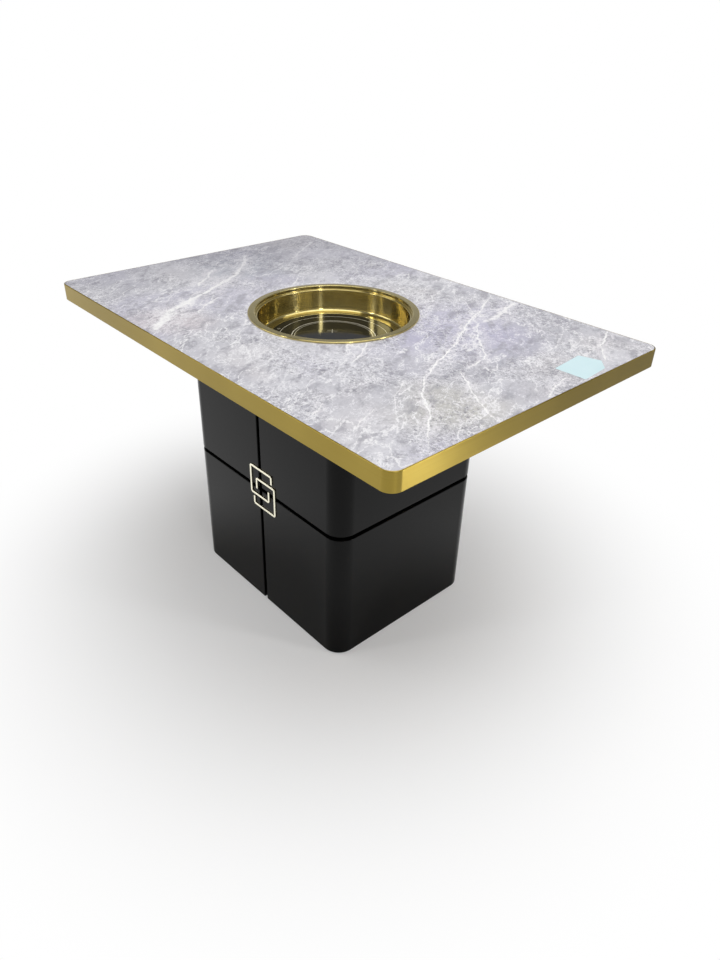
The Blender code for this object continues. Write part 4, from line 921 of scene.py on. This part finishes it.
film_blue = clouded("blue_film", (25, 4), tone(200, 229, 234), tone(216, 237, 241), (0.3, 0.45))
film_blue.bump(film_blue.noise(film_blue.place(), 120, 3), 0.0002, 0.3)
film = draw_line("film_scrap", [(x, y, stone_face + film_lift) for x, y in film_corners])
bpy.ops.mesh.select_all(action="SELECT")
bpy.ops.mesh.edge_face_add()
bpy.ops.mesh.select_all(action="SELECT")
bpy.ops.mesh.bevel(offset=film_corner_round, segments=4, affect="VERTICES")
bpy.ops.mesh.select_all(action="SELECT")
extrude_by((0, 0, film_thickness))
face_outward()
bpy.ops.object.mode_set(mode="OBJECT")
fit_piece(film, film_blue, "table_frame", "grey_plastic")


# Pot well. Polished brass sheet: a spun wall with a flat rim that lies on the stone and a step for a lid,
# brazed to a pressed pan with a fillet, a floor ring and a ledge for the cooker. A rubber ring seals it.
well_sheet, well_steps, well_smooth, wall_bend_steps, pan_bend_steps = 0.0015, 192, 25, 6, 8
rim_width, rim_foot, rim_round = 0.016, 0.7503, 0.0016
lid_step_depth, lid_step_width, lid_step_round, under_round = 0.009, 0.006, 0.0006, 0.0005
well_taper, well_fillet, pan_floor = 0.003, 0.008, 0.6915
seam_gap, seam_gap_outside, pan_inset, fillet_trim = 0.0003, 0.0008, 0.0001, 0.0006
ledge_radius, ledge_top, ledge_opening = 0.151, 0.6839, 0.135
ring_round, ledge_round, ledge_under_round = 0.0007, 0.0005, 0.001


def polished_brass():
    finish = Finish("polished_brass")
    spot = finish.parts(finish.place())
    ring_place = finish.add("ShaderNodeCombineXYZ")
    finish.feed(ring_place.inputs["X"], finish.from_axis(spot))
    finish.feed(ring_place.inputs["Y"], spot["Z"])
    spun = finish.noise(ring_place.outputs[0], 500, 2, 0.6)
    smear = finish.noise(finish.place(scale=(1, 1, 2)), 22, 5, 0.65)
    finish.surface(
        Base_Color=finish.blend(finish.spread(smear, 0.4, 0.7), tone(191, 177, 122), tone(181, 166, 108)),
        Metallic=1.0,
        Roughness=finish.maths("MULTIPLY_ADD", spun, 0.06, finish.spread(smear, 0.35, 0.7, 0.12, 0.18)),
        Anisotropic=0.9,
        Anisotropic_Rotation=0.25,
        Tangent=finish.add("ShaderNodeTangent", direction_type="RADIAL", axis="Z").outputs[0],
    )
    finish.bump(spun, 0.00003, 0.05)
    return finish


brass = polished_brass()
wall_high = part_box("well_wall")[1]
rim_radius, rim_top = wall_high.x, wall_high.z
step_radius, step_height = rim_radius - rim_width, rim_top - lid_step_depth
well_radius = step_radius - lid_step_width
well_foot = well_radius - well_taper
wall_outline = rounded_line(
    [
        (rim_radius, rim_foot, 0),
        (rim_radius, rim_top, rim_round),
        (step_radius, rim_top, rim_round),
        (step_radius, step_height, lid_step_round),
        (well_radius, step_height, rim_round),
        (well_foot, pan_floor + well_fillet, 0),
        (well_foot + well_sheet, pan_floor + well_fillet, 0),
        (well_radius + well_sheet, step_height - well_sheet, under_round),
        (step_radius + well_sheet, step_height - well_sheet, 0),
        (step_radius + well_sheet, rim_top - well_sheet, 0),
        (rim_radius - well_sheet, rim_top - well_sheet, 0),
        (rim_radius - well_sheet, rim_foot, 0),
    ],
    wall_bend_steps,
)
wall = turn_on_lathe("well_wall_spun", wall_outline, well_steps)
fit_piece(wall, brass, "well", "polished_brass", "well_wall", smooth=well_smooth)
pan_outline = rounded_line(
    [
        (well_foot, pan_floor + well_fillet - seam_gap, 0),
        (well_foot - pan_inset, pan_floor, well_fillet - fillet_trim),
        (ledge_radius, pan_floor, ring_round),
        (ledge_radius, ledge_top, ledge_round),
        (ledge_opening, ledge_top, 0),
        (ledge_opening, ledge_top - well_sheet, 0),
        (ledge_radius + well_sheet, ledge_top - well_sheet, ledge_under_round),
        (ledge_radius + well_sheet, pan_floor - well_sheet, under_round),
        (well_foot + well_sheet, pan_floor - well_sheet, well_fillet),
        (well_foot + well_sheet, pan_floor + well_fillet - seam_gap_outside, 0),
    ],
    pan_bend_steps,
)
pan = turn_on_lathe("well_pan_pressed", pan_outline, well_steps)
fit_piece(pan, brass, "well", "polished_brass", "well_pan", smooth=well_smooth)
dress(rubber, "well_gasket")


# Cooker glass. A disc of black ceramic glass that lies flush in the well's ledge, with the cooking zone
# printed on it as fine pale rings, a plain mark at the middle and a row of touch marks near its edge.
glass_low, glass_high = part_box("cooker_glass")
glass_radius, glass_edge, glass_under_edge, glass_bend_steps = glass_high.x, 0.0008, 0.0004, 4
printed_rings = ((0.1300, 0.00045), (0.0995, 0.00090), (0.0930, 0.00040))
key_signs = ((212, "ring"), (221, "stroke"), (230, "cross"), (239, "ring"))
key_circle, key_size, key_line = 0.1385, 0.0030, 0.0003
middle_mark, middle_turn, middle_reach = (-0.004, 0.030), -48, 0.012
stroke_line, print_edge = 0.0004, 0.0002


def inked(finish, gap, half_line):
    """1 where a gap lies within half a printed line, and 0 beyond its edge."""
    return finish.spread(gap, half_line, half_line + print_edge, 1.0, 0.0)


def strokes(finish, place, reach, count):
    """One printed stroke through the middle of a place, or two that cross."""
    spot = finish.parts(place)
    across, upright = (finish.maths("ABSOLUTE", spot[side]) for side in ("X", "Y"))
    return [
        finish.times(inked(finish, along, reach), inked(finish, aside, stroke_line))
        for along, aside in ((upright, across), (across, upright))[:count]
    ]


def printed_glass():
    finish = Finish("printed_glass")
    radius = finish.from_axis(finish.parts(finish.place()))
    marks = [inked(finish, finish.apart(radius, ring), half_line) for ring, half_line in printed_rings]
    for angle, sign in key_signs:
        if sign == "ring":
            x, y = (key_circle * side(math.radians(angle)) for side in (math.cos, math.sin))
            reach = finish.vectors("DISTANCE", finish.place(), (x, y, glass_high.z))
            marks.append(inked(finish, finish.apart(reach, key_size), key_line))
        else:
            from_key = finish.vectors("SUBTRACT", finish.place(turn=(0, 0, -angle)), (key_circle, 0, 0))
            marks += strokes(finish, from_key, key_size, 2 if sign == "cross" else 1)
    from_middle = finish.vectors("SUBTRACT", finish.place(turn=(0, 0, middle_turn)), (*middle_mark, 0))
    marks += strokes(finish, from_middle, middle_reach, 2)
    smear = finish.noise(finish.place(), 30, 4)
    finish.surface(
        Base_Color=finish.blend(finish.most(marks), tone(14, 14, 15), tone(205, 200, 184)),
        Roughness=finish.spread(smear, 0.35, 0.7, 0.05, 0.12),
        Specular_IOR_Level=0.5,
    )
    return finish


glass_outline = rounded_line(
    [
        (0, glass_low.z, 0),
        (glass_radius, glass_low.z, glass_under_edge),
        (glass_radius, glass_high.z, glass_edge),
        (0, glass_high.z, 0),
    ],
    glass_bend_steps,
)
glass = turn_on_lathe("glass_disc", glass_outline, well_steps)
fit_piece(glass, printed_glass(), "cooker", "black_glass", "cooker_glass", smooth=well_smooth)


# Drop-in induction cooker. A round housing of dark plastic under the glass, with air slots, a fan, a coil on
# a tray, ferrite bars, a power board with its heat sink, and a gland in its floor for the mains lead.
winding_smooth = 60


def solder_resist():
    finish = Finish("solder_resist")
    tracks = finish.add("ShaderNodeTexBrick")
    finish.feed(tracks.inputs["Vector"], finish.place())
    tracks.inputs["Scale"].default_value = 60
    tracks.inputs["Mortar Size"].default_value = 0.03
    gaps = tracks.outputs["Fac"]
    finish.surface(
        Base_Color=finish.blend(gaps, tone(28, 92, 48), tone(46, 122, 66)),
        Roughness=finish.spread(gaps, 0, 1, 0.3, 0.4),
    )
    return finish


smooth_copy("cooker_housing", "housing_tub", dark_plastic, "cooker", "dark_plastic")
smooth_copy("cable_gland", "gland_body", dark_plastic, "cooker", "dark_plastic")
smooth_copy("fan_frame", "fan_surround", dark_plastic, "cooker", "dark_plastic")
smooth_copy("fan_rotor", "fan_wheel", dark_plastic, "fan", "dark_plastic")
copper = clouded(
    "enamelled_copper", (140, 3), tone(176, 96, 52), tone(202, 120, 70), (0.25, 0.4), Metallic=1.0
)
smooth_copy("induction_coil", "coil_winding", copper, "cooker", "copper", smooth=winding_smooth)
smooth_copy("power_choke", "choke_winding", copper, "cooker", "copper", smooth=winding_smooth)
dress(grey_plastic, "coil_tray", "heat_sensor", "filter_capacitor")
aluminium_tones = tone(196, 198, 200), tone(218, 219, 221)
aluminium = clouded("bare_aluminium", (1, 3), *aluminium_tones, (0.3, 0.45), (4, 300, 300), Metallic=1.0)
dress(aluminium, "heat_sink")
ferrite = clouded("sintered_ferrite", (900, 3), tone(52, 52, 55), tone(74, 74, 78), (0.6, 0.8))
ferrite.bump(ferrite.cloud, 0.0001, 0.4)
dress(ferrite, *(f"ferrite_bar_{number}" for number in range(1, 7)))
dress(solder_resist(), "power_board")
